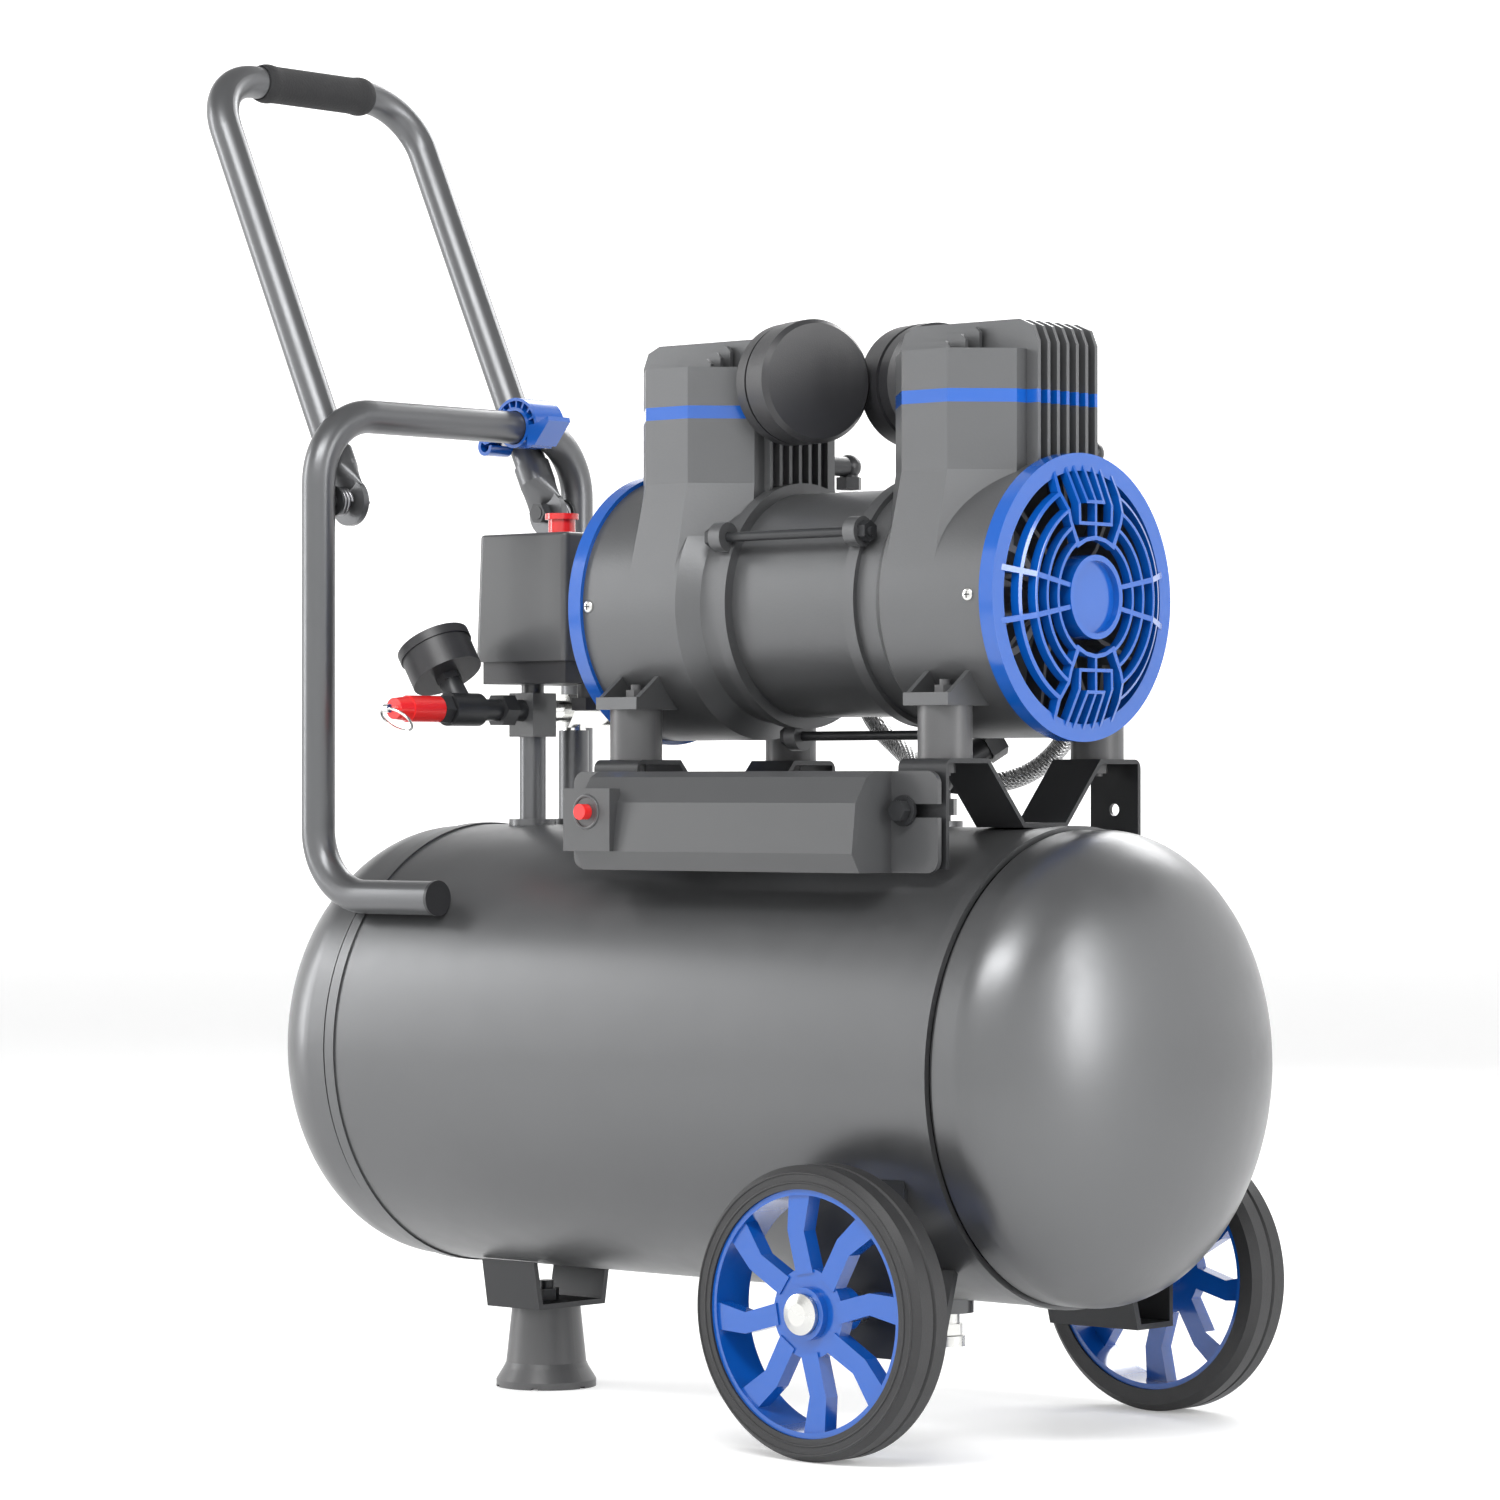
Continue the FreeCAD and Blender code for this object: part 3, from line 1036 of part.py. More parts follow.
def make_crankcase(name, side):
    """A cup with a bearing in its inner wall, open to the fan, with feet and tie-rod ears."""
    body = new_body(name)
    section = new_sketch(body, "XZ_Plane", "pump_x", "pump_z")
    inside = [("case_out", "case_radius - case_wall"), ("case_flange + 23", "case_radius - case_wall")]
    inside += [("case_flange + 13", "case_flange_radius - 3 - case_wall")]
    inside += [("case_in + 12", "case_flange_radius - 3 - case_wall"), ("case_in + 12", "bearing_radius")]
    inside += [("case_in", "bearing_radius")]
    draw_polygon(section, [(f"({side}) * ({along})", radius) for along, radius in CASE_PROFILE + inside])
    turn(body, section, "H_Axis")
    feet = new_sketch(body, "XY_Plane", out="ear_low_z")
    foot_x = case_x(side, "case_out - 31.5")
    for across in ("-", ""):
        near, far = f"{across}ear_in_y", f"{across}ear_out_y"
        draw_rectangle(feet, f"{foot_x} - ear_half_x", near, f"{foot_x} + ear_half_x", far)
    pad(body, feet, "ear_top_z - ear_low_z")
    for edge in ("-ear_half_x", "ear_half_x - 3"):
        gusset = new_sketch(body, "YZ_Plane", out=f"{foot_x} + {edge}")
        for across in ("-", ""):
            low, high = "ear_top_z - 1", "ear_top_z + 16"
            corners = [("ear_in_y + 6", low), ("ear_out_y - 1", low), ("ear_in_y + 16", high), ("ear_in_y + 9", high)]
            draw_polygon(gusset, [(f"{across}({y})", z) for y, z in corners])
        pad(body, gusset, "3")
    stud_holes = new_sketch(body, "XY_Plane", out="ear_top_z + 1")
    for across in ("-", ""):
        draw_circle(stud_holes, foot_x, f"{across}isolator_y", "stud_radius + 0.2")
    pocket(body, stud_holes, "ear_top_z - ear_low_z + 2")
    ears = new_sketch(body, "YZ_Plane", "0", "pump_z", case_x(side, "case_in + 2"))
    for across, up in tie_rod_places():
        draw_circle(ears, across, up, "rod_ear")
    pad(body, ears, "8", backwards=side < 0)
    holes = new_sketch(body, "YZ_Plane", "0", "pump_z", case_x(side, "case_in - 1"))
    for across, up in tie_rod_places():
        draw_circle(holes, across, up, "rod_radius + 0.2")
    pocket(body, holes, "16", backwards=side > 0)
    mouth = new_sketch(body, "XY_Plane", out="pump_z + 20")
    draw_circle(mouth, case_x(side, "cylinder_offset"), "0", "bore_radius")
    pocket(body, mouth, "case_radius", backwards=True)
    vents = new_sketch(body, "XZ_Plane", out="0")
    draw_circle(vents, case_x(side, "case_flange + 61"), "pump_z", "5")
    pocket(body, vents, "case_radius + 5", backwards=False)
    return keep(body, name)


def case_envelope(side):
    """The crankcase's outside as one filled solid."""
    outwards = ALONG["x"] if side > 0 else Rotation(Vector(0, 0, 1), Vector(-1, 0, 0))

    def at(distance):
        return (case_x(side, distance), "0", "pump_z")

    flange = rod(at("case_in"), outwards, "case_flange_radius", "case_flange - case_in")
    neck = rod(at("case_flange"), outwards, "case_flange_radius - 3", "13")
    cone = taper(at("case_flange + 13"), outwards, "case_flange_radius - 3", "case_radius", "10")
    drum = rod(at("case_flange + 23"), outwards, "case_radius", "case_out - case_flange - 23")
    return fused(flange, neck, cone, drum)


def fin_ends(side):
    """Where the long fins start and end along the pump, the inner end first."""
    middle = case_x(side, "cylinder_offset")
    return f"{middle} - ({side}) * (fin_reach - 3.5)", f"{middle} + ({side}) * fin_reach"


def octagon(side):
    """The outline that block, gasket and head share, in plan."""
    x, y, cut = "block_half_x", "block_half_y", "block_chamfer"
    quarter = [(x, f"{y} - {cut}"), (f"{x} - {cut}", y)]
    corners = quarter + [(f"-({a})", b) for a, b in reversed(quarter)]
    corners += [(f"-({a})", f"-({b})") for a, b in quarter] + [(a, f"-({b})") for a, b in reversed(quarter)]
    middle = case_x(side, "cylinder_offset")
    return [(f"{middle} + ({a})", b) for a, b in corners]


def finned_block(body, side, low, high):
    """An octagonal block with seven thin fins that stand out of both end faces."""
    plan = new_sketch(body, "XY_Plane", out=low)
    draw_polygon(plan, octagon(side))
    pad(body, plan, f"{high} - ({low})")
    fin_plan = new_sketch(body, "XY_Plane", out=low)
    start, end = fin_ends(side)
    first = "-3 * fin_pitch"
    draw_rectangle(fin_plan, start, f"{first} - fin_thick / 2", end, f"{first} + fin_thick / 2")
    fin = pad(body, fin_plan, f"{high} - ({low})")
    repeat_along(body, fin, fin_plan, "V_Axis", "6 * fin_pitch", 7)


def widened(corners, side):
    """The block's outline grown to the skirt's size, in the same order of corners."""
    middle = case_x(side, "cylinder_offset")
    x_scale = "(block_half_x + skirt_x) / block_half_x"
    y_scale = "(block_half_y + skirt_y) / block_half_y"
    return [(f"{middle} + ({across} - ({middle})) * {x_scale}", f"({up}) * {y_scale}") for across, up in corners]


def make_cylinder(name, side):
    """The finned block, with a skirt that widens into the crankcase."""
    body = new_body("block")
    finned_block(body, side, "pump_z + block_base", "block_top_z")
    upper = new_sketch(body, "XY_Plane", out="pump_z + skirt_top")
    draw_polygon(upper, octagon(side))
    lower = new_sketch(body, "XY_Plane", out="pump_z + skirt_base")
    draw_polygon(lower, widened(octagon(side), side))
    skirt = body.newObject("PartDesign::AdditiveLoft", "skirt")
    skirt.Profile = upper
    skirt.Sections = [lower]
    skirt.Ruled = True
    bore = rod((case_x(side, "cylinder_offset"), "0", "pump_z"), "z", "bore_radius", "case_radius * 2")
    low_end = case_x(side, "case_in") if side > 0 else case_x(side, "case_in + 20")
    clear = [rod((low_end, y, f"pump_z + {z}"), "x", "rod_ear + 1.5", "20") for y, z in tie_rod_places()[:2]]
    return keep(less(body, case_envelope(side), bore, *clear), name)


def make_gasket_bands():
    bands = []
    for side in (-1, 1):
        body = new_body("band")
        finned_block(body, side, "block_top_z", "gasket_top_z")
        bands.append(body)
    return keep(grouped(*bands), "gasket_bands")


def filter_axis(side):
    """The intake filters are turned a little off the pump's axis."""
    lean = math.radians(19.3)
    return Vector(-side * math.cos(lean), side * math.sin(lean), 0)


def filter_point(side, distance):
    """A point on the filter's axis, measured back from the middle of its outer face."""
    axis = filter_axis(side)
    x = f"pump_x + ({side}) * 3.5 - ({axis.x}) * ({distance})"
    y = f"({side}) * 34 - ({axis.y}) * ({distance})"
    return (x, y, "gasket_top_z + 11")


def make_head(name, side):
    """The cylinder head: octagonal cap, long fins over the top and short stepped fins beside them."""
    body = new_body(f"{name}_core")
    finned_block(body, side, "gasket_top_z", "head_top_z")
    start, end = fin_ends(side)
    crest = new_sketch(body, "XZ_Plane", out="3 * fin_pitch - fin_thick / 2")
    low, high = sorted((start, end), key=mm)
    near, corner = "head_top_z", "fin_corner"
    corners = [(low, near), (high, near), (high, f"fin_top_z - {corner}"), (f"{high} - 3.6", "fin_top_z - 3.6")]
    corners += [(f"{high} - {corner}", "fin_top_z"), (f"{low} + {corner}", "fin_top_z")]
    corners += [(f"{low} + 3.6", "fin_top_z - 3.6"), (low, f"fin_top_z - {corner}")]
    draw_polygon(crest, corners)
    fin = pad(body, crest, "fin_thick")
    row_sketch = new_sketch(body, "XY_Plane")
    repeat_along(body, fin, row_sketch, "V_Axis", "6 * fin_pitch", 7)
    middle = case_x(side, "cylinder_offset")
    for reach, rise, step in ((6, 5, 0), (10, 9, 1), (13, 13, 2)):
        for across in (-1, 1):
            place = f"({across}) * (42 - {step} * fin_pitch) + fin_thick / 2"
            short = new_sketch(body, "XZ_Plane", out=place)
            left, right = sorted((f"{middle} + ({side}) * {reach}", f"{middle} - ({side}) * 20"), key=mm)
            top = f"head_top_z + {rise}"
            corners = [(left, "head_top_z - 1"), (right, "head_top_z - 1"), (right, f"{top} - 3")]
            corners += [(f"{right} - 3", top), (f"{left} + 3", top), (left, f"{top} - 3")]
            draw_polygon(short, corners)
            pad(body, short, "fin_thick")
    axis = Rotation(Vector(0, 0, 1), -filter_axis(side))
    neck = rod(filter_point(side, "30"), axis, "8", "20")
    return keep(less(body, neck), name)


def make_intake_filters():
    """Two round filter cans, each on a short neck in its cylinder head."""
    cans = []
    for side in (-1, 1):
        back = Rotation(Vector(0, 0, 1), -filter_axis(side))
        front = taper(filter_point(side, "0"), back, "31", "33.4", "3")
        cap = rod(filter_point(side, "3"), back, "33.4", "17")
        groove = rod(filter_point(side, "20"), back, "31.6", "2.5")
        rear = rod(filter_point(side, "22.5"), back, "33", "9")
        shoulder = taper(filter_point(side, "31.5"), back, "33", "27", "4.5")
        neck = rod(filter_point(side, "34"), back, "8", "13")
        cans.append(fused(front, cap, groove, rear, shoulder, neck))
    return keep(grouped(*cans), "intake_filters")


def make_motor_housing():
    shell = pipe((case_x(-1, "case_in"), "0", "pump_z"), "x", "motor_radius", "motor_radius - motor_wall", "2 * case_in")
    return keep(shell, "motor_housing")


def make_stator():
    stack = pipe((case_x(-1, "28"), "0", "pump_z"), "x", "stator_out", "stator_in", "56")
    windings = pipe((case_x(-1, "38"), "0", "pump_z"), "x", "stator_out - 7", "stator_in + 4", "76")
    return keep(fused(stack, windings), "stator")


def make_tie_rods():
    bars = []
    for across, up in tie_rod_places():
        def at(distance):
            return (case_x(-1, distance), across, f"pump_z + {up}")

        bar = rod(at("case_in + 17"), "x", "rod_radius", "2 * case_in + 34")
        nuts = [hexagon(at("case_in + 15"), "x", "10", "5"), hexagon(at("-case_in - 10"), "x", "10", "5")]
        bars.append(fused(bar, *nuts))
    return keep(grouped(*bars), "tie_rods")


def make_isolators():
    """Rubber mounts with a stud above and below, between the saddles and the crankcase feet."""
    mounts = []
    for side in (-1, 1):
        for across in ("-", ""):
            def at(z):
                return (case_x(side, "case_out - 31.5"), f"{across}isolator_y", z)

            block = rod(at("saddle_top_z"), "z", "isolator_radius", "ear_low_z - saddle_top_z")
            stud = rod(at("saddle_top_z - 9"), "z", "stud_radius", "ear_top_z - saddle_top_z + 16")
            nut = hexagon(at("ear_top_z"), "z", "10", "4")
            low_nut = hexagon(at("saddle_top_z - saddle_sheet - 5"), "z", "10", "5")
            mounts.append(fused(block, stud, nut, low_nut))
    return keep(grouped(*mounts), "isolators")


# ---------------------------------------------------------------- drive: rotor, pistons and fans


def make_rotor():
    """One shaft through the motor with the rotor core, two eccentrics and two counterweights."""
    shaft = rod((case_x(-1, "case_out - 2"), "0", "pump_z"), "x", "shaft_radius", "2 * case_out - 4")
    core = rod((case_x(-1, "core_half"), "0", "pump_z"), "x", "core_radius", "2 * core_half")
    solids = [shaft, core]
    for side in (-1, 1):
        low = f"{case_x(side, 'cylinder_offset')} - 6"
        solids.append(rod((low, f"({side}) * throw", "pump_z"), "x", "shaft_radius + throw + 1", "12"))
        weight_at = case_x(side, "cylinder_offset - 11")
        weight = rod((f"{weight_at} - 2", "0", "pump_z"), "x", "26", "4")
        near, far = ("0", "40") if side < 0 else ("-40", "0")
        half_space = brick((f"{weight_at} - 3", near, "pump_z - 40"), (f"{weight_at} + 3", far, "pump_z + 40"))
        solids.append(both(weight, half_space))
    return keep(fused(*solids), "rotor")


def make_bearings():
    rings = []
    for side in (-1, 1):
        middle = f"{case_x(side, 'case_in + 6')} - bearing_width / 2"
        rings.append(pipe((middle, "0", "pump_z"), "x", "bearing_radius", "shaft_radius + 0.05", "bearing_width"))
    return keep(grouped(*rings), "shaft_bearings")


def make_fans():
    """A radial fan on each end of the shaft."""
    fans = []
    for side in (-1, 1):
        body = new_body("fan")
        disc = new_sketch(body, "YZ_Plane", "0", "pump_z", case_x(side, "fan_in"))
        draw_circle(disc, "0", "0", "fan_hub")
        draw_circle(disc, "0", "0", "shaft_radius")
        pad(body, disc, "fan_width", backwards=side < 0)
        blade = new_sketch(body, "YZ_Plane", "0", "pump_z", case_x(side, "fan_in"))
        corners = [("fan_hub - 3", "-fan_blade"), ("fan_radius * 0.6", "2"), ("fan_radius", "12")]
        corners += [("fan_radius - 1", "12 + fan_blade"), ("fan_radius * 0.58", "2 + fan_blade"), ("fan_hub - 3", "fan_blade")]
        draw_polygon(blade, corners)
        vane = pad(body, blade, "fan_width", backwards=side < 0)
        repeat_round(body, [vane], blade, 9)
        fans.append(body)
    return keep(grouped(*fans), "cooling_fans")


def make_piston(name, side):
    """Piston and connecting rod in one casting, with a wide eye round the eccentric."""
    x = case_x(side, "cylinder_offset")
    crown = rod((x, "0", "piston_top_z - piston_height"), "z", "piston_radius", "piston_height")
    shank = brick(
        (f"{x} - rod_half", "-9", "pump_z + rod_eye"), (f"{x} + rod_half", "9", "piston_top_z - 2")
    )
    eye = rod((f"{x} - rod_half", "0", "pump_z"), "x", "rod_eye_out", "2 * rod_half")
    hole = rod((f"{x} - rod_half - 1", "0", "pump_z"), "x", "rod_eye", "2 * rod_half + 2")
    return keep(less(fused(crown, shank, eye), hole), name)


# ---------------------------------------------------------------- fan covers


def flat_plate(points, start, depth):
    """A prism along X with its outline given across and up."""
    corners = [Vector(start, y, z) for y, z in points]
    return Part.Face(Part.makePolygon(corners + corners[:1])).extrude(Vector(depth, 0, 0))


def shield_panel(start, depth):
    """Outer and inner outlines of the barred panel above the hub, and its bars."""
    outline = [(-24.5, 70), (-26.5, 54), (-22, 38.5), (-15.5, 25), (-8, 28.5), (0, 29.8)]
    outline += [(-y, z) for y, z in reversed(outline[:-1])]
    inset = [(-22.3, 75), (-24.3, 54), (-20, 39), (-14, 28.3), (-7.5, 30.8), (0, 32)]
    inset += [(-y, z) for y, z in reversed(inset[:-1])]
    whole = flat_plate(outline, start, depth)
    frame = whole.cut(flat_plate(inset, start - 1, depth + 2))
    bars = []
    for half_width, low in ((14.2, 37.2), (7.8, 48.6)):
        outer = [(-half_width - 1.6, 75), (-half_width, low), (half_width, low), (half_width + 1.6, 75)]
        inner = [(-half_width + 0.2, 76), (-half_width + 1.8, low + 1.8)]
        inner += [(-y, z) for y, z in reversed(inner)]
        bars.append(flat_plate(outer, start, depth).cut(flat_plate(inner, start - 1, depth + 2)))
    bars.append(flat_plate([(-0.9, 30), (0.9, 30), (0.9, 75), (-0.9, 75)], start, depth))
    bars = [bar.common(whole) for bar in bars]
    return whole, frame.fuse(bars)


def make_fan_cover(name, side):
    """A domed grille: outer band, four spokes, round ribs, a barred panel above and below, and a hub cup."""
    origin = Vector(mm("pump_x"), 0, mm("pump_z"))
    along = Vector(1, 0, 0)

    def drum(low, high, radius):
        return Part.makeCylinder(radius, high - low, Vector(low, 0, 0), along)

    low, face = mm("case_out"), mm("cover_out")
    crown = face + mm("cover_dome")
    outer, bore, flat, depth = mm("cover_radius"), mm("cover_bore"), mm("dome_flat"), mm("rib_depth")

    def dome(drop):
        base = drum(low - drop, face - drop, bore + 3)
        cap = Part.makeCone(bore + 3, flat, crown - face, Vector(face - drop, 0, 0), along)
        return base.fuse(cap)

    shell = dome(0).cut(dome(depth))
    start, reach = low - 2, crown - low + 4
    whole, panel = shield_panel(start, reach)
    ribs = []
    for number in range(4):
        radius = mm("rib_first") + number * mm("rib_pitch")
        half = mm("rib_width") / 2
        ribs.append(drum(start, start + reach, radius + half).cut(drum(start - 1, start + reach + 1, radius - half)))
    spokes = []
    for across in (-1, 1):
        for up in (-1, 1):
            corners = [(20 * across, 6.6 * up), (20 * across, 4.2 * up), (70 * across, 12.6 * up), (70 * across, 15.9 * up)]
            spokes.append(flat_plate(corners, start, reach))
    flipped = Placement(Vector(), Rotation(Vector(1, 0, 0), 180))
    lower_whole, lower_panel = whole.copy(), panel.copy()
    lower_whole.Placement = flipped
    lower_panel.Placement = flipped
    rings = ribs[0].fuse(ribs[1:]).cut(whole.fuse(lower_whole))
    lattice = rings.fuse(spokes + [panel, lower_panel]).common(shell)
    band = drum(low, face, outer).cut(drum(low - 1, face + 1, bore))
    hub, recess = mm("grille_hub"), mm("grille_recess")
    cup = drum(face - 2, crown + 0.5, hub).cut(drum(crown - 3, crown + 2, recess))
    cover = band.fuse([lattice, cup])
    if side < 0:
        cover = cover.mirror(Vector(), along)
    return as_node(name, cover, Placement(origin, Rotation()))


# ---------------------------------------------------------------- assembly


def build_all():
    make_tank_shell()
    make_tank_head("tank_head_left", -1, "head_depth_left")
    make_tank_head("tank_head_right", 1, "head_depth_right")
    make_saddles()
    make_lower_frame_tube()
    make_frame_end_plugs()
    make_wheel_brackets()
    make_axle_bolts()
    make_tyre("tyre_front", -1)
    make_tyre("tyre_rear", 1)
    make_rim("rim_front", -1)
    make_rim("rim_rear", 1)
    make_foot()
    make_foot_bracket()
    make_handle_tube()
    make_handle_grip()
    make_pivot_bolts()
    make_pivot_springs()
    make_latch_clip()
    make_standpipes()
    make_manifold()
    make_tee()
    make_gauge()
    make_relief_valve()
    make_relief_ring()
    make_switch()
    make_cable_gland()
    make_outlet_coupler()
    make_discharge_fittings()
    make_discharge_hoses()
    make_drain_valve()
    make_control_box()
    make_frame_bolts()
    make_capacitor()
    make_reset_button()
    for name, side in (("left", -1), ("right", 1)):
        make_crankcase(f"crankcase_{name}", side)
        make_cylinder(f"cylinder_{name}", side)
        make_head(f"head_{name}", side)
        make_piston(f"piston_{name}", side)
        make_fan_cover(f"fan_cover_{name}", side)
    make_gasket_bands()
    make_intake_filters()
    make_motor_housing()
    make_stator()
    make_tie_rods()
    make_isolators()
    make_rotor()
    make_bearings()
    make_fans()


def check_and_write():
    """Writes one file for each sub-part, once the whole document is sound."""
    doc.recompute()
    faults = [f"{thing.Label}: {thing.State}" for thing in doc.Objects if {"Invalid", "Error"} & set(thing.State)]
    faults += [f"{node.Label}: null shape" for node in NODES if node.Shape.isNull()]
    faults += [f"{node.Label}: not valid" for node in NODES if not node.Shape.isNull() and not node.Shape.isValid()]
    faults += [f"{node.Label}: no solid" for node in NODES if not node.Shape.isNull() and not node.Shape.Solids]
    if faults:
        raise RuntimeError("; ".join(faults))
    os.makedirs("parts", exist_ok=True)
    for node in NODES:
        node.Shape.exportStep(os.path.join("parts", f"{node.Label}.step"))
    print(len(NODES), "sub-parts written")


build_all()
check_and_write()
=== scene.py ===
"""The air compressor's looks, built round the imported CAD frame. Metres, in the row frame."""

import json
import math

import bpy
from mathutils import Matrix, Vector


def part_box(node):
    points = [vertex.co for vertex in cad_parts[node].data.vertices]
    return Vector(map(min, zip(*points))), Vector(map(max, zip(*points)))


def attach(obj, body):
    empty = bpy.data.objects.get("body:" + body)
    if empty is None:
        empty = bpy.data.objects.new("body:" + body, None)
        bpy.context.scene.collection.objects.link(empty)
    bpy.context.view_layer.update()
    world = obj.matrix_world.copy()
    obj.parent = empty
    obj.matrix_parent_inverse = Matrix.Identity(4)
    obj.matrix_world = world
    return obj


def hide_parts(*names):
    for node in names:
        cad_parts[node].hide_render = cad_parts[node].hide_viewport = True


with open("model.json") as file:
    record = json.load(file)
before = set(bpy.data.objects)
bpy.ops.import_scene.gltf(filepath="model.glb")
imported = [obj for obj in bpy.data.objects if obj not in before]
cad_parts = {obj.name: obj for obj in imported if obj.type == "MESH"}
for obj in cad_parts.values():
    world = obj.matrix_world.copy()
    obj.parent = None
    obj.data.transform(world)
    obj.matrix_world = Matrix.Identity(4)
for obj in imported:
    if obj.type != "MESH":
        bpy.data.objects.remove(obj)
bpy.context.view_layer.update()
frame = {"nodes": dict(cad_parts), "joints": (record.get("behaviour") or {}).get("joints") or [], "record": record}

# ---------------------------------------------------------------- materials


def fresh_material(name):
    """An empty node material with an output and a shader, and the object's own coordinates."""
    material = bpy.data.materials.new(name)
    material.use_nodes = True
    tree = material.node_tree
    tree.nodes.clear()
    output = tree.nodes.new("ShaderNodeOutputMaterial")
    shader = tree.nodes.new("ShaderNodeBsdfPrincipled")
    tree.links.new(shader.outputs["BSDF"], output.inputs["Surface"])
    place = tree.nodes.new("ShaderNodeTexCoord")
    return material, tree, shader, place.outputs["Object"]


def noise(tree, place, scale, detail=3.0):
    node = tree.nodes.new("ShaderNodeTexNoise")
    node.inputs["Scale"].default_value = scale
    node.inputs["Detail"].default_value = detail
    tree.links.new(place, node.inputs["Vector"])
    return node.outputs["Fac"]


def spread_between(tree, value, low, high):
    node = tree.nodes.new("ShaderNodeMapRange")
    node.inputs["From Min"].default_value = 0.3
    node.inputs["From Max"].default_value = 0.7
    node.inputs["To Min"].default_value = low
    node.inputs["To Max"].default_value = high
    tree.links.new(value, node.inputs["Value"])
    return node.outputs["Result"]


def mottle_and_shade(tree, value, colour, change):
    """Two shades of one colour, mixed by a value: a noise makes a close mottle; the braid's weave height makes
    painted shade.
    """
    node = tree.nodes.new("ShaderNodeMix")
    node.data_type = "RGBA"
    node.inputs["A"].default_value = [c * (1 - change) for c in colour] + [1]
    node.inputs["B"].default_value = [min(1, c * (1 + change)) for c in colour] + [1]
    tree.links.new(value, node.inputs["Factor"])
    return node.outputs["Result"]


def bumped(tree, shader, value, strength, depth):
    node = tree.nodes.new("ShaderNodeBump")
    node.inputs["Strength"].default_value = strength
    node.inputs["Distance"].default_value = depth
    tree.links.new(value, node.inputs["Height"])
    tree.links.new(node.outputs["Normal"], shader.inputs["Normal"])


def surface(name, colour, rough, metal=0.0, grain=900, bump=0.1, change=0.06, coat=0.0, swing=0.02):
    """A finish with a broad mottle, a roughness that varies, and a fine grain in the normal."""
    material, tree, shader, place = fresh_material(name)
    broad = noise(tree, place, 14)
    fine = noise(tree, place, grain, 2.0)
    tree.links.new(mottle_and_shade(tree, broad, colour, change), shader.inputs["Base Color"])
    roughness = spread_between(tree, noise(tree, place, 60), rough - swing, rough + swing)
    tree.links.new(roughness, shader.inputs["Roughness"])
    shader.inputs["Metallic"].default_value = metal
    shader.inputs["Coat Weight"].default_value = coat
    shader.inputs["Coat Roughness"].default_value = 0.12
    bumped(tree, shader, fine, bump, 0.0004)
    return material


def braid(name, colour):
    """Crossed wires wound both ways round a hose, with painted shade between the wires."""
    material, tree, shader, place = fresh_material(name)
    heights = []
    for turn in (0.8, -0.8):
        lean = tree.nodes.new("ShaderNodeMapping")
        lean.inputs["Rotation"].default_value = (turn, 0.3, turn)
        tree.links.new(place, lean.inputs["Vector"])
        wave = tree.nodes.new("ShaderNodeTexWave")
        wave.inputs["Scale"].default_value = 190
        wave.inputs["Distortion"].default_value = 0.4
        tree.links.new(lean.outputs["Vector"], wave.inputs["Vector"])
        heights.append(wave.outputs["Fac"])
    crossing = tree.nodes.new("ShaderNodeMath")
    crossing.operation = "MAXIMUM"
    for height, socket in zip(heights, crossing.inputs):
        tree.links.new(height, socket)
    weave = crossing.outputs["Value"]
    # Painted shade: the braid is coloured darker in the weave's low places and lighter on its crests.
    tree.links.new(mottle_and_shade(tree, weave, colour, 0.45), shader.inputs["Base Color"])
    tree.links.new(spread_between(tree, weave, 0.5, 0.25), shader.inputs["Roughness"])
    shader.inputs["Metallic"].default_value = 0.9
    bumped(tree, shader, weave, 0.8, 0.0006)
    return material


def clear_plastic(name):
    material = surface(name, (0.9, 0.92, 0.93), 0.08, change=0.02, bump=0.01, swing=0.02)
    shader = next(n for n in material.node_tree.nodes if n.type == "BSDF_PRINCIPLED")
    shader.inputs["Transmission Weight"].default_value = 0.95
    shader.inputs["IOR"].default_value = 1.2
    return material


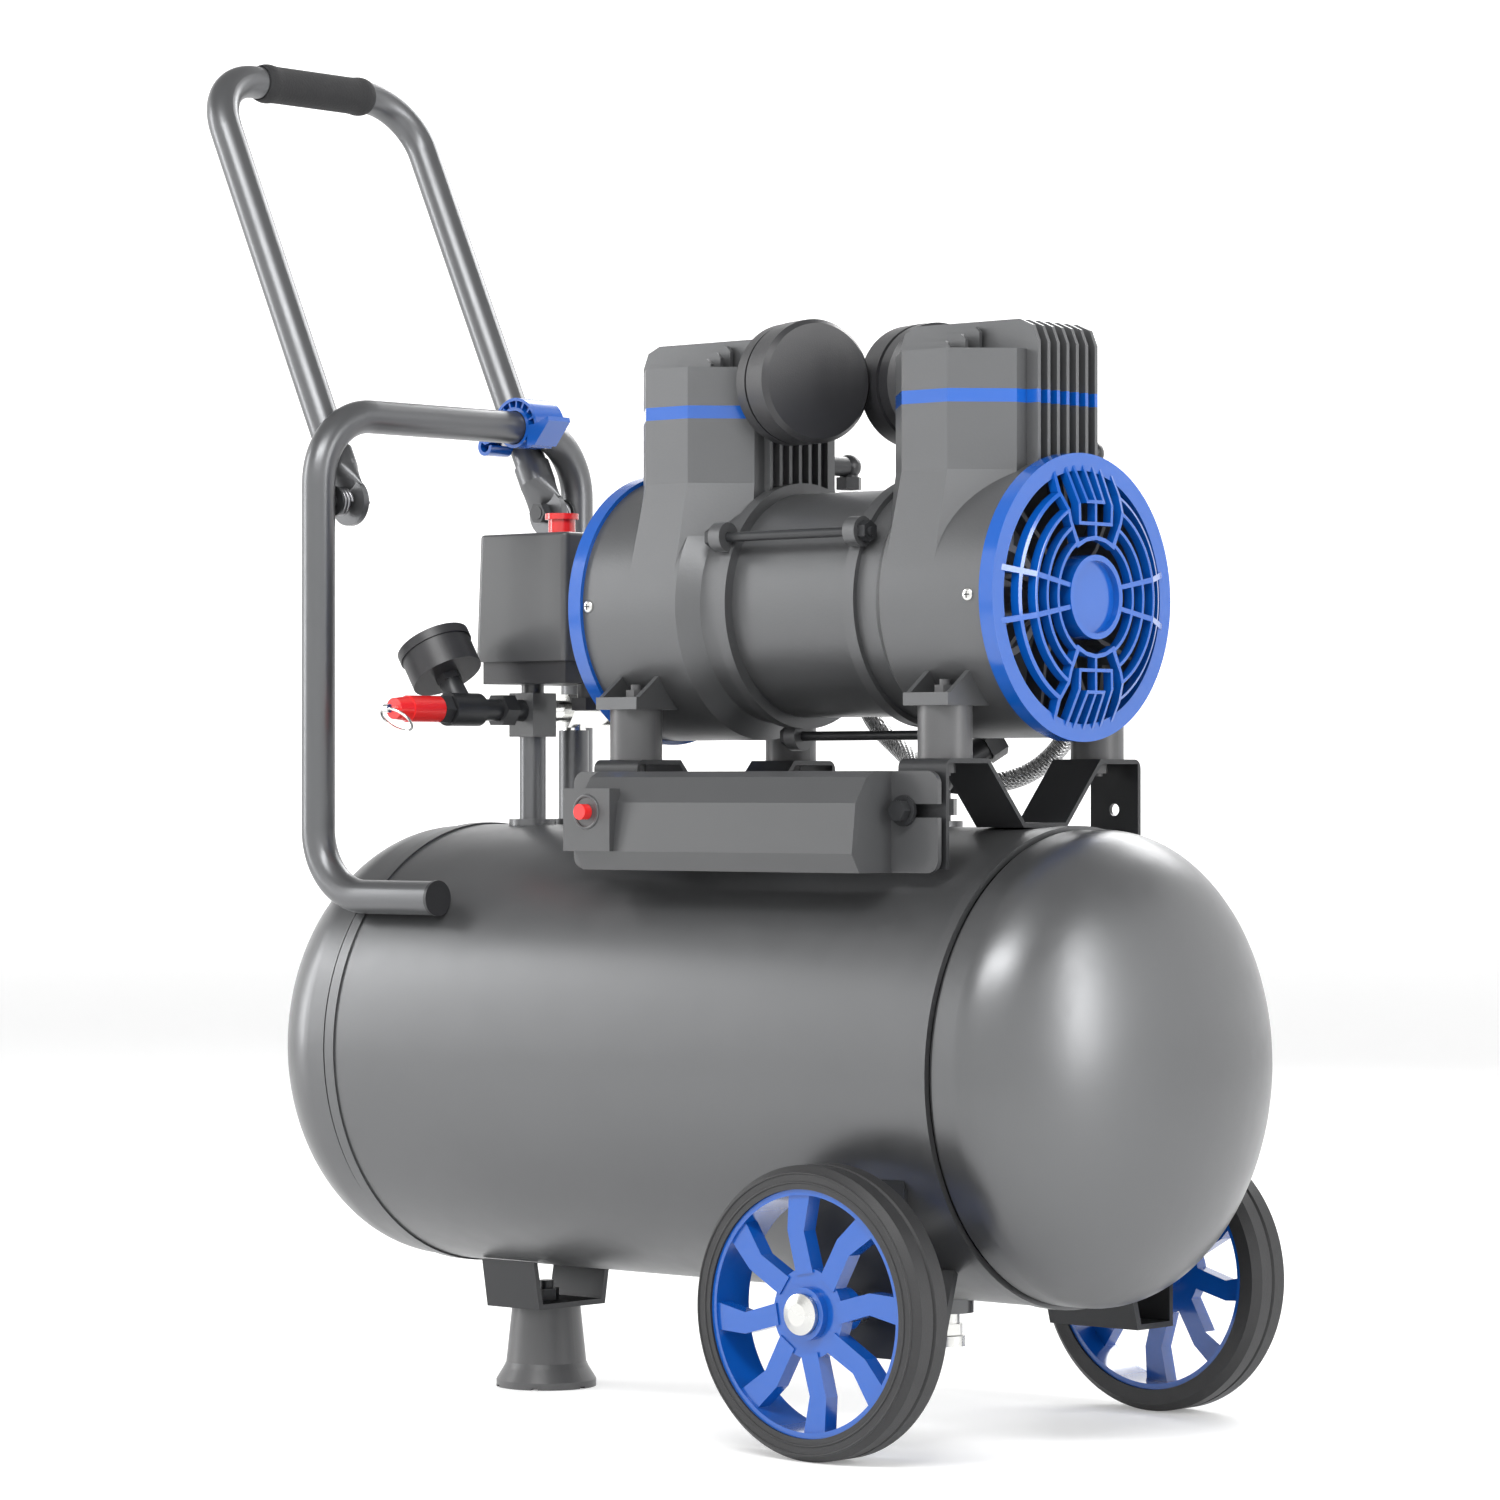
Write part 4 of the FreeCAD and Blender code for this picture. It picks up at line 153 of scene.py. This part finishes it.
FINISHES = {
    "tank_paint": surface("tank_paint", (0.125, 0.127, 0.13), 0.34, 0.75, 1400, 0.06, 0.03),
    "frame_paint": surface("frame_paint", (0.12, 0.122, 0.126), 0.34, 0.7, 1400, 0.05),
    "pump_paint": surface("pump_paint", (0.115, 0.117, 0.12), 0.4, 0.6, 700, 0.14),
    "black_steel": surface("black_steel", (0.028, 0.029, 0.031), 0.36, 0.3, 900, 0.08),
    "blue_plastic": surface("blue_plastic", (0.002, 0.075, 0.36), 0.2, 0, 500, 0.02, coat=0.6),
    "black_plastic": surface("black_plastic", (0.022, 0.022, 0.024), 0.4, 0, 1600, 0.2),
    "grey_plastic": surface("grey_plastic", (0.05, 0.051, 0.053), 0.36, 0, 1600, 0.12, coat=0.3),
    "red_plastic": surface("red_plastic", (0.72, 0.02, 0.02), 0.25, 0, 500, 0.02, coat=0.4),
    "tyre_rubber": surface("tyre_rubber", (0.016, 0.016, 0.017), 0.55, 0, 1100, 0.3),
    "mount_rubber": surface("mount_rubber", (0.07, 0.07, 0.072), 0.4, 0, 1100, 0.12),
    "foam": surface("foam", (0.014, 0.014, 0.015), 0.85, 0, 700, 0.9),
    "plated_steel": surface("plated_steel", (0.62, 0.62, 0.6), 0.28, 1, 900, 0.06),
    "bright_nickel": surface("bright_nickel", (0.8, 0.8, 0.78), 0.16, 1, 900, 0.02, swing=0.04),
    "spring_steel": surface("spring_steel", (0.25, 0.25, 0.26), 0.35, 1, 900, 0.06),
    "braided_steel": braid("braided_steel", (0.3, 0.3, 0.3)),
    "machined_alloy": surface("machined_alloy", (0.6, 0.6, 0.61), 0.3, 1, 300, 0.1),
    "core_steel": surface("core_steel", (0.2, 0.2, 0.21), 0.5, 0.8, 300, 0.3),
    "dial_white": surface("dial_white", (0.9, 0.9, 0.88), 0.45, 0, 900, 0.02, change=0.03),
    "clear_lens": clear_plastic("clear_lens"),
}


def finish_with(piece, name):
    piece.data.materials.clear()
    piece.data.materials.append(FINISHES[name])
    return piece


for entry in frame["record"]["subparts"]:
    finish_with(frame["nodes"][entry["node"]], entry["material_slot"])

# ---------------------------------------------------------------- hoses

HOSE_DIAMETER = 0.0108
HOSES = {
    "discharge_hose_left": (
        0.228,
        [
            (0.152, 0.088, 0.508),
            (0.152, 0.093, 0.436),
            (0.166, 0.082, 0.384),
            (0.222, 0.062, 0.354),
            (0.25196, 0.03632, 0.34864),
        ],
    ),
    "discharge_hose_right": (
        0.204,
        [
            (0.325, 0.088, 0.508),
            (0.326, 0.094, 0.436),
            (0.320, 0.092, 0.382),
            (0.294, 0.070, 0.341),
            (0.27771, 0.04449, 0.34380),
        ],
    ),
}


def make_hose(name, route):
    """A braided hose on a smooth line from a cylinder's elbow to the tank's inlet."""
    curve = bpy.data.curves.new(name, "CURVE")
    curve.dimensions = "3D"
    curve.bevel_depth = HOSE_DIAMETER / 2
    curve.bevel_resolution = 6
    curve.resolution_u = 24
    spline = curve.splines.new("NURBS")
    spline.points.add(len(route) - 1)
    for point, place in zip(spline.points, route):
        point.co = (*place, 1)
    spline.order_u = 3
    spline.use_endpoint_u = True
    hose = bpy.data.objects.new(name, curve)
    bpy.context.scene.collection.objects.link(hose)
    finish_with(hose, "braided_steel")
    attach(hose, "chassis")
    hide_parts("discharge_hoses")


for hose_name, (hose_length, hose_route) in HOSES.items():
    make_hose(hose_name, hose_route)

# ---------------------------------------------------------------- soft grip


def make_grip():
    """Foam round the handle: round ends, a bulge beside each end, and the tube's bore through it."""
    low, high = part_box("handle_grip")
    middle = (low + high) / 2
    half, outer = (high.y - low.y) / 2, (high.z - low.z) / 2
    bore = 0.0096
    rings, around = 72, 64
    bottom, end_round = bore + 0.0002, 0.004
    profile = [(-half + 0.001, bottom)]
    for step in range(rings + 1):
        along = -half + 2 * half * step / rings
        from_end = half - abs(along)
        rounded = math.sqrt(max(0, 1 - (1 - min(1, from_end / end_round)) ** 2))
        swell = 0.0007 * math.exp(-(((from_end - 0.006) / 0.004) ** 2))
        waist = 0.0009 - swell
        profile.append((along, bottom + (outer - waist - bottom) * max(0.12, rounded)))
    profile.append((half - 0.001, bottom))
    corners, faces = [], []
    for along, radius in profile:
        for turn in range(around):
            angle = 2 * math.pi * turn / around
            corners.append(
                (middle.x + radius * math.cos(angle), middle.y + along, middle.z + radius * math.sin(angle))
            )
    count = len(profile)
    for ring in range(count):
        after = (ring + 1) % count
        for turn in range(around):
            beside = (turn + 1) % around
            faces.append(
                (ring * around + turn, ring * around + beside, after * around + beside, after * around + turn)
            )
    mesh = bpy.data.meshes.new("foam_grip")
    mesh.from_pydata(corners, [], faces)
    mesh.validate()
    for face in mesh.polygons:
        face.use_smooth = True
    grip = bpy.data.objects.new("foam_grip", mesh)
    bpy.context.scene.collection.objects.link(grip)
    finish_with(grip, "foam")
    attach(grip, "handle")
    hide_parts("handle_grip")


make_grip()

# ---------------------------------------------------------------- fine pieces on the CAD parts


def add_piece(name, corners, faces, slot_name, body, smooth=True):
    """One mesh object in the row frame, finished and riding on its body."""
    mesh = bpy.data.meshes.new(name)
    mesh.from_pydata(corners, [], faces)
    mesh.validate()
    for face in mesh.polygons:
        face.use_smooth = smooth
    piece = bpy.data.objects.new(name, mesh)
    bpy.context.scene.collection.objects.link(piece)
    finish_with(piece, slot_name)
    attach(piece, body)
    return piece


def lathed(profile, place, axis, around=96):
    """Corners and faces of a closed (radius, height) outline turned about an axis through a place."""
    turn = Vector(axis).to_track_quat("Z", "Y").to_matrix()
    corners, faces = [], []
    for radius, height in profile:
        for step in range(around):
            angle = 2 * math.pi * step / around
            spot = Vector((radius * math.cos(angle), radius * math.sin(angle), height))
            corners.append(Vector(place) + turn @ spot)
    count = len(profile)
    for ring in range(count):
        after = (ring + 1) % count
        for step in range(around):
            beside = (step + 1) % around
            faces.append(
                (ring * around + step, ring * around + beside, after * around + beside, after * around + step)
            )
    return corners, faces


def bead_outline(radius, half_width, height, steps=8):
    """A low half-round ridge, sunk a little into the face it lies on."""
    arc = [math.pi * step / steps for step in range(steps + 1)]
    outline = [(radius + half_width * math.cos(a), height * math.sin(a)) for a in arc]
    sink = 0.0004
    return [(radius + half_width, -sink), *outline, (radius - half_width, -sink)]


def bars(centres, sizes, turns):
    """Corners and faces of several small bars with chamfered tops, each with its own turn."""
    corners, faces = [], []
    for centre, size, turn in zip(centres, sizes, turns):
        start = len(corners)
        for level, shrink in ((-1, 1.0), (0.5, 1.0), (1, 0.75)):
            for across, along in ((-1, -1), (1, -1), (1, 1), (-1, 1)):
                spot = Vector((across * size[0] * shrink, along * size[1] * shrink, level * size[2])) / 2
                corners.append(Vector(centre) + turn @ spot)
        faces.append([start + k for k in (3, 2, 1, 0)])
        faces.append([start + k for k in (8, 9, 10, 11)])
        for level in (0, 4):
            for k in range(4):
                after = (k + 1) % 4
                low = start + level
                faces.append([low + k, low + after, low + 4 + after, low + 4 + k])
    return corners, faces


def make_cross_screw(name, place, axis, radius, body, slot_name="plated_steel"):
    """A pan head with a cross cut, shown as painted shade: four dark arms stand in for the shadow in the recess.
    """
    height = radius * 0.45
    dome = [(0.02 * radius, -0.0006), (radius, -0.0006), (radius, height * 0.25)]
    for step in range(1, 9):
        angle = math.pi / 2 * step / 8
        dome.append((max(0.02, math.cos(angle)) * radius, height * (0.25 + 0.75 * math.sin(angle))))
    corners, faces = lathed(dome, place, axis, 48)
    add_piece(name, corners, faces, slot_name, body)
    turn = Vector(axis).to_track_quat("Z", "Y").to_matrix()
    middle = Vector(place) + Vector(axis) * height * 0.93
    arm = radius * 1.05
    sizes = [(arm, radius * 0.2, height * 0.28), (radius * 0.2, arm, height * 0.28)]
    # Painted shade: two dark bars stand in for the shadow inside the screw head's cross recess.
    corners, faces = bars([middle] * 2, sizes, [turn] * 2)
    add_piece(f"{name}_cross", corners, faces, "black_plastic", body, smooth=False)


def make_case_screws():
    """Small screws hold each blue fan cover to its crankcase, front and back."""
    for side in ("left", "right"):
        low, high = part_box(f"crankcase_{side}")
        inset = 0.004 if side == "left" else 0.009
        x = low.x + inset if side == "left" else high.x - inset
        for face, direction in (("front", -1), ("back", 1)):
            place = (x, direction * 0.0729, 0.440)
            make_cross_screw(f"case_screw_{side}_{face}", place, (0, direction, 0), 0.0034, "chassis")


def make_wheel_trim():
    """Moulded ridges on each tyre's side, a ridge inside the rim's edge, and the axle screw's cross as painted
    shade in dark bars.
    """
    for end, direction in (("front", -1), ("rear", 1)):
        low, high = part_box(f"tyre_{end}")
        middle = (low + high) / 2
        face = low.y if direction < 0 else high.y
        for number, radius in enumerate((0.0665, 0.0712)):
            corners, faces = lathed(
                bead_outline(radius, 0.0006, 0.0005), (middle.x, face, middle.z), (0, direction, 0), 160
            )
            add_piece(f"tyre_{end}_ridge_{number + 1}", corners, faces, "tyre_rubber", f"wheel_{end}")
        bolt_low, bolt_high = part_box("axle_bolts")
        tip = bolt_low.y if direction < 0 else bolt_high.y
        # Painted shade: two dark bars on the bolt's tip stand in for the shadow in its cross recess.
        turn = Vector((0, direction, 0)).to_track_quat("Z", "Y").to_matrix()
        cross_shade = (middle.x, tip - direction * 0.00035, middle.z)
        corners, faces = bars([cross_shade] * 2, [(0.0085, 0.0018, 0.0006), (0.0018, 0.0085, 0.0006)], [turn] * 2)
        add_piece(f"axle_screw_cross_{end}", corners, faces, "black_plastic", "chassis", smooth=False)


def make_gauge_marks():
    """Long and short ticks round three quarters of the dial."""
    joint = next(j for j in frame["joints"] if j["name"] == "gauge_sweep")
    axis, pivot = Vector(joint["axis"]), Vector(joint["pos_m"])
    turn = axis.to_track_quat("Z", "Y").to_matrix()
    low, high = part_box("gauge_dial")
    dial = pivot + axis * ((low + high) / 2 - pivot).dot(axis)
    centres, sizes, turns = [], [], []
    ticks = 28
    for tick in range(ticks + 1):
        angle = math.radians(-135 + 270 * tick / ticks)
        long_tick = tick % 4 == 0
        reach = 0.0032 if long_tick else 0.0018
        spin = Matrix.Rotation(angle, 3, "Z")
        radius = 0.0172 - reach / 2
        centres.append(dial + axis * 0.0006 + turn @ spin @ Vector((radius, 0, 0)))
        sizes.append((reach, 0.0005 if long_tick else 0.0003, 0.0003))
        turns.append(turn @ spin)
    corners, faces = bars(centres, sizes, turns)
    add_piece("gauge_marks", corners, faces, "black_plastic", "chassis", smooth=False)


def make_switch_ribs():
    """Fine upright ribs on the front of the switch's leaning cover."""
    low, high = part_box("switch_cover")
    lean = math.atan(0.0035 / (high.z - low.z))
    turn = Matrix.Rotation(-lean, 3, "X") @ Vector((0, -1, 0)).to_track_quat("Z", "Y").to_matrix()
    height = (high.z - low.z) * 0.7
    up = low.z + height / 2 + 0.002
    face = low.y + 0.0002 + (up - low.z) * math.tan(lean)
    width = high.x - low.x
    centres = [(low.x + width * part, face, up) for part in (0.24, 0.42, 0.6, 0.78)]
    corners, faces = bars(centres, [(0.0009, height, 0.0011)] * 4, [turn] * 4)
    add_piece("switch_cover_ribs", corners, faces, "grey_plastic", "chassis", smooth=False)


def make_pod_ring():
    """A raised ring on the control box's pod, round the red button."""
    low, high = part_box("reset_button")
    box_low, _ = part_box("control_box")
    place = ((low.x + high.x) / 2, box_low.y, (low.z + high.z) / 2)
    corners, faces = lathed(bead_outline(0.0086, 0.0009, 0.0009), place, (0, -1, 0), 72)
    add_piece("pod_ring", corners, faces, "grey_plastic", "chassis")


make_case_screws()
make_wheel_trim()
make_gauge_marks()
make_switch_ribs()
make_pod_ring()

# ---------------------------------------------------------------- studio


def glowing(name, colour, glow):
    """A pale staging finish that gives a little light of its own, so that it stays white far away."""
    material = surface(name, colour, 0.7, change=0.01, bump=0.01)
    shader = next(n for n in material.node_tree.nodes if n.type == "BSDF_PRINCIPLED")
    shader.inputs["Emission Color"].default_value = (1, 1, 1, 1)
    shader.inputs["Emission Strength"].default_value = glow
    return material


def make_floor():
    mesh = bpy.data.meshes.new("floor")
    reach = 12
    corners = [(-reach, -reach, 0), (reach, -reach, 0), (reach, reach, 0), (-reach, reach, 0)]
    mesh.from_pydata(corners, [], [(0, 1, 2, 3)])
    floor = bpy.data.objects.new("floor", mesh)
    bpy.context.scene.collection.objects.link(floor)
    floor.data.materials.append(glowing("floor", (0.88, 0.88, 0.88), 0.22))


def make_backdrop():
    """A bright curved screen far behind the object and all round it, open above."""
    radius, top, steps = 11.5, 7.0, 96
    corners, faces = [], []
    for step in range(steps):
        angle = 2 * math.pi * step / steps
        corners += [(radius * math.cos(angle), radius * math.sin(angle), up) for up in (-0.01, top)]
        after = (step + 1) % steps
        faces.append((2 * step, 2 * after, 2 * after + 1, 2 * step + 1))
    mesh = bpy.data.meshes.new("backdrop")
    mesh.from_pydata(corners, [], faces)
    screen = bpy.data.objects.new("backdrop", mesh)
    bpy.context.scene.collection.objects.link(screen)
    screen.data.materials.append(glowing("backdrop", (0.9, 0.9, 0.9), 0.6))


def make_light(name, place, aim, width, height, power):
    data = bpy.data.lights.new(name, "AREA")
    data.shape = "RECTANGLE"
    data.size, data.size_y = width, height
    data.energy = power
    light = bpy.data.objects.new(name, data)
    bpy.context.scene.collection.objects.link(light)
    light.location = place
    light.rotation_mode = "QUATERNION"
    light.rotation_quaternion = (Vector(aim) - Vector(place)).to_track_quat("-Z", "Y")


def make_studio():
    world = bpy.data.worlds.new("studio")
    world.use_nodes = True
    backdrop = world.node_tree.nodes["Background"]
    backdrop.inputs["Color"].default_value = (1, 1, 1, 1)
    backdrop.inputs["Strength"].default_value = 0.42
    bpy.context.scene.world = world
    bpy.context.scene.view_settings.view_transform = "Standard"
    middle = (0.15, 0, 0.35)
    make_light("key", (0.9, -1.6, 2.0), middle, 1.8, 0.5, 46)
    make_light("right", (2.6, 0.3, 1.0), middle, 0.5, 1.6, 26)
    make_light("left", (-2.0, -1.2, 0.9), middle, 0.5, 1.6, 24)
    make_light("back", (-0.4, 2.2, 1.9), middle, 2.0, 0.8, 40)
    make_floor()
    make_backdrop()


def make_camera():
    """At the picture's own angle, far back with a long lens."""
    azimuth, rise = math.radians(41.67), math.radians(0.43)
    ahead = Vector((-math.sin(azimuth) * math.cos(rise), math.cos(azimuth) * math.cos(rise), math.sin(rise)))
    data = bpy.data.cameras.new("camera")
    data.sensor_width = 36
    data.lens = 122.79
    data.clip_end = 50
    camera = bpy.data.objects.new("camera", data)
    bpy.context.scene.collection.objects.link(camera)
    turn = ahead.to_track_quat("-Z", "Y")
    camera.matrix_world = Matrix.Translation((2.030, -2.106, 0.3405)) @ turn.to_matrix().to_4x4()
    bpy.context.scene.camera = camera


make_studio()
make_camera()
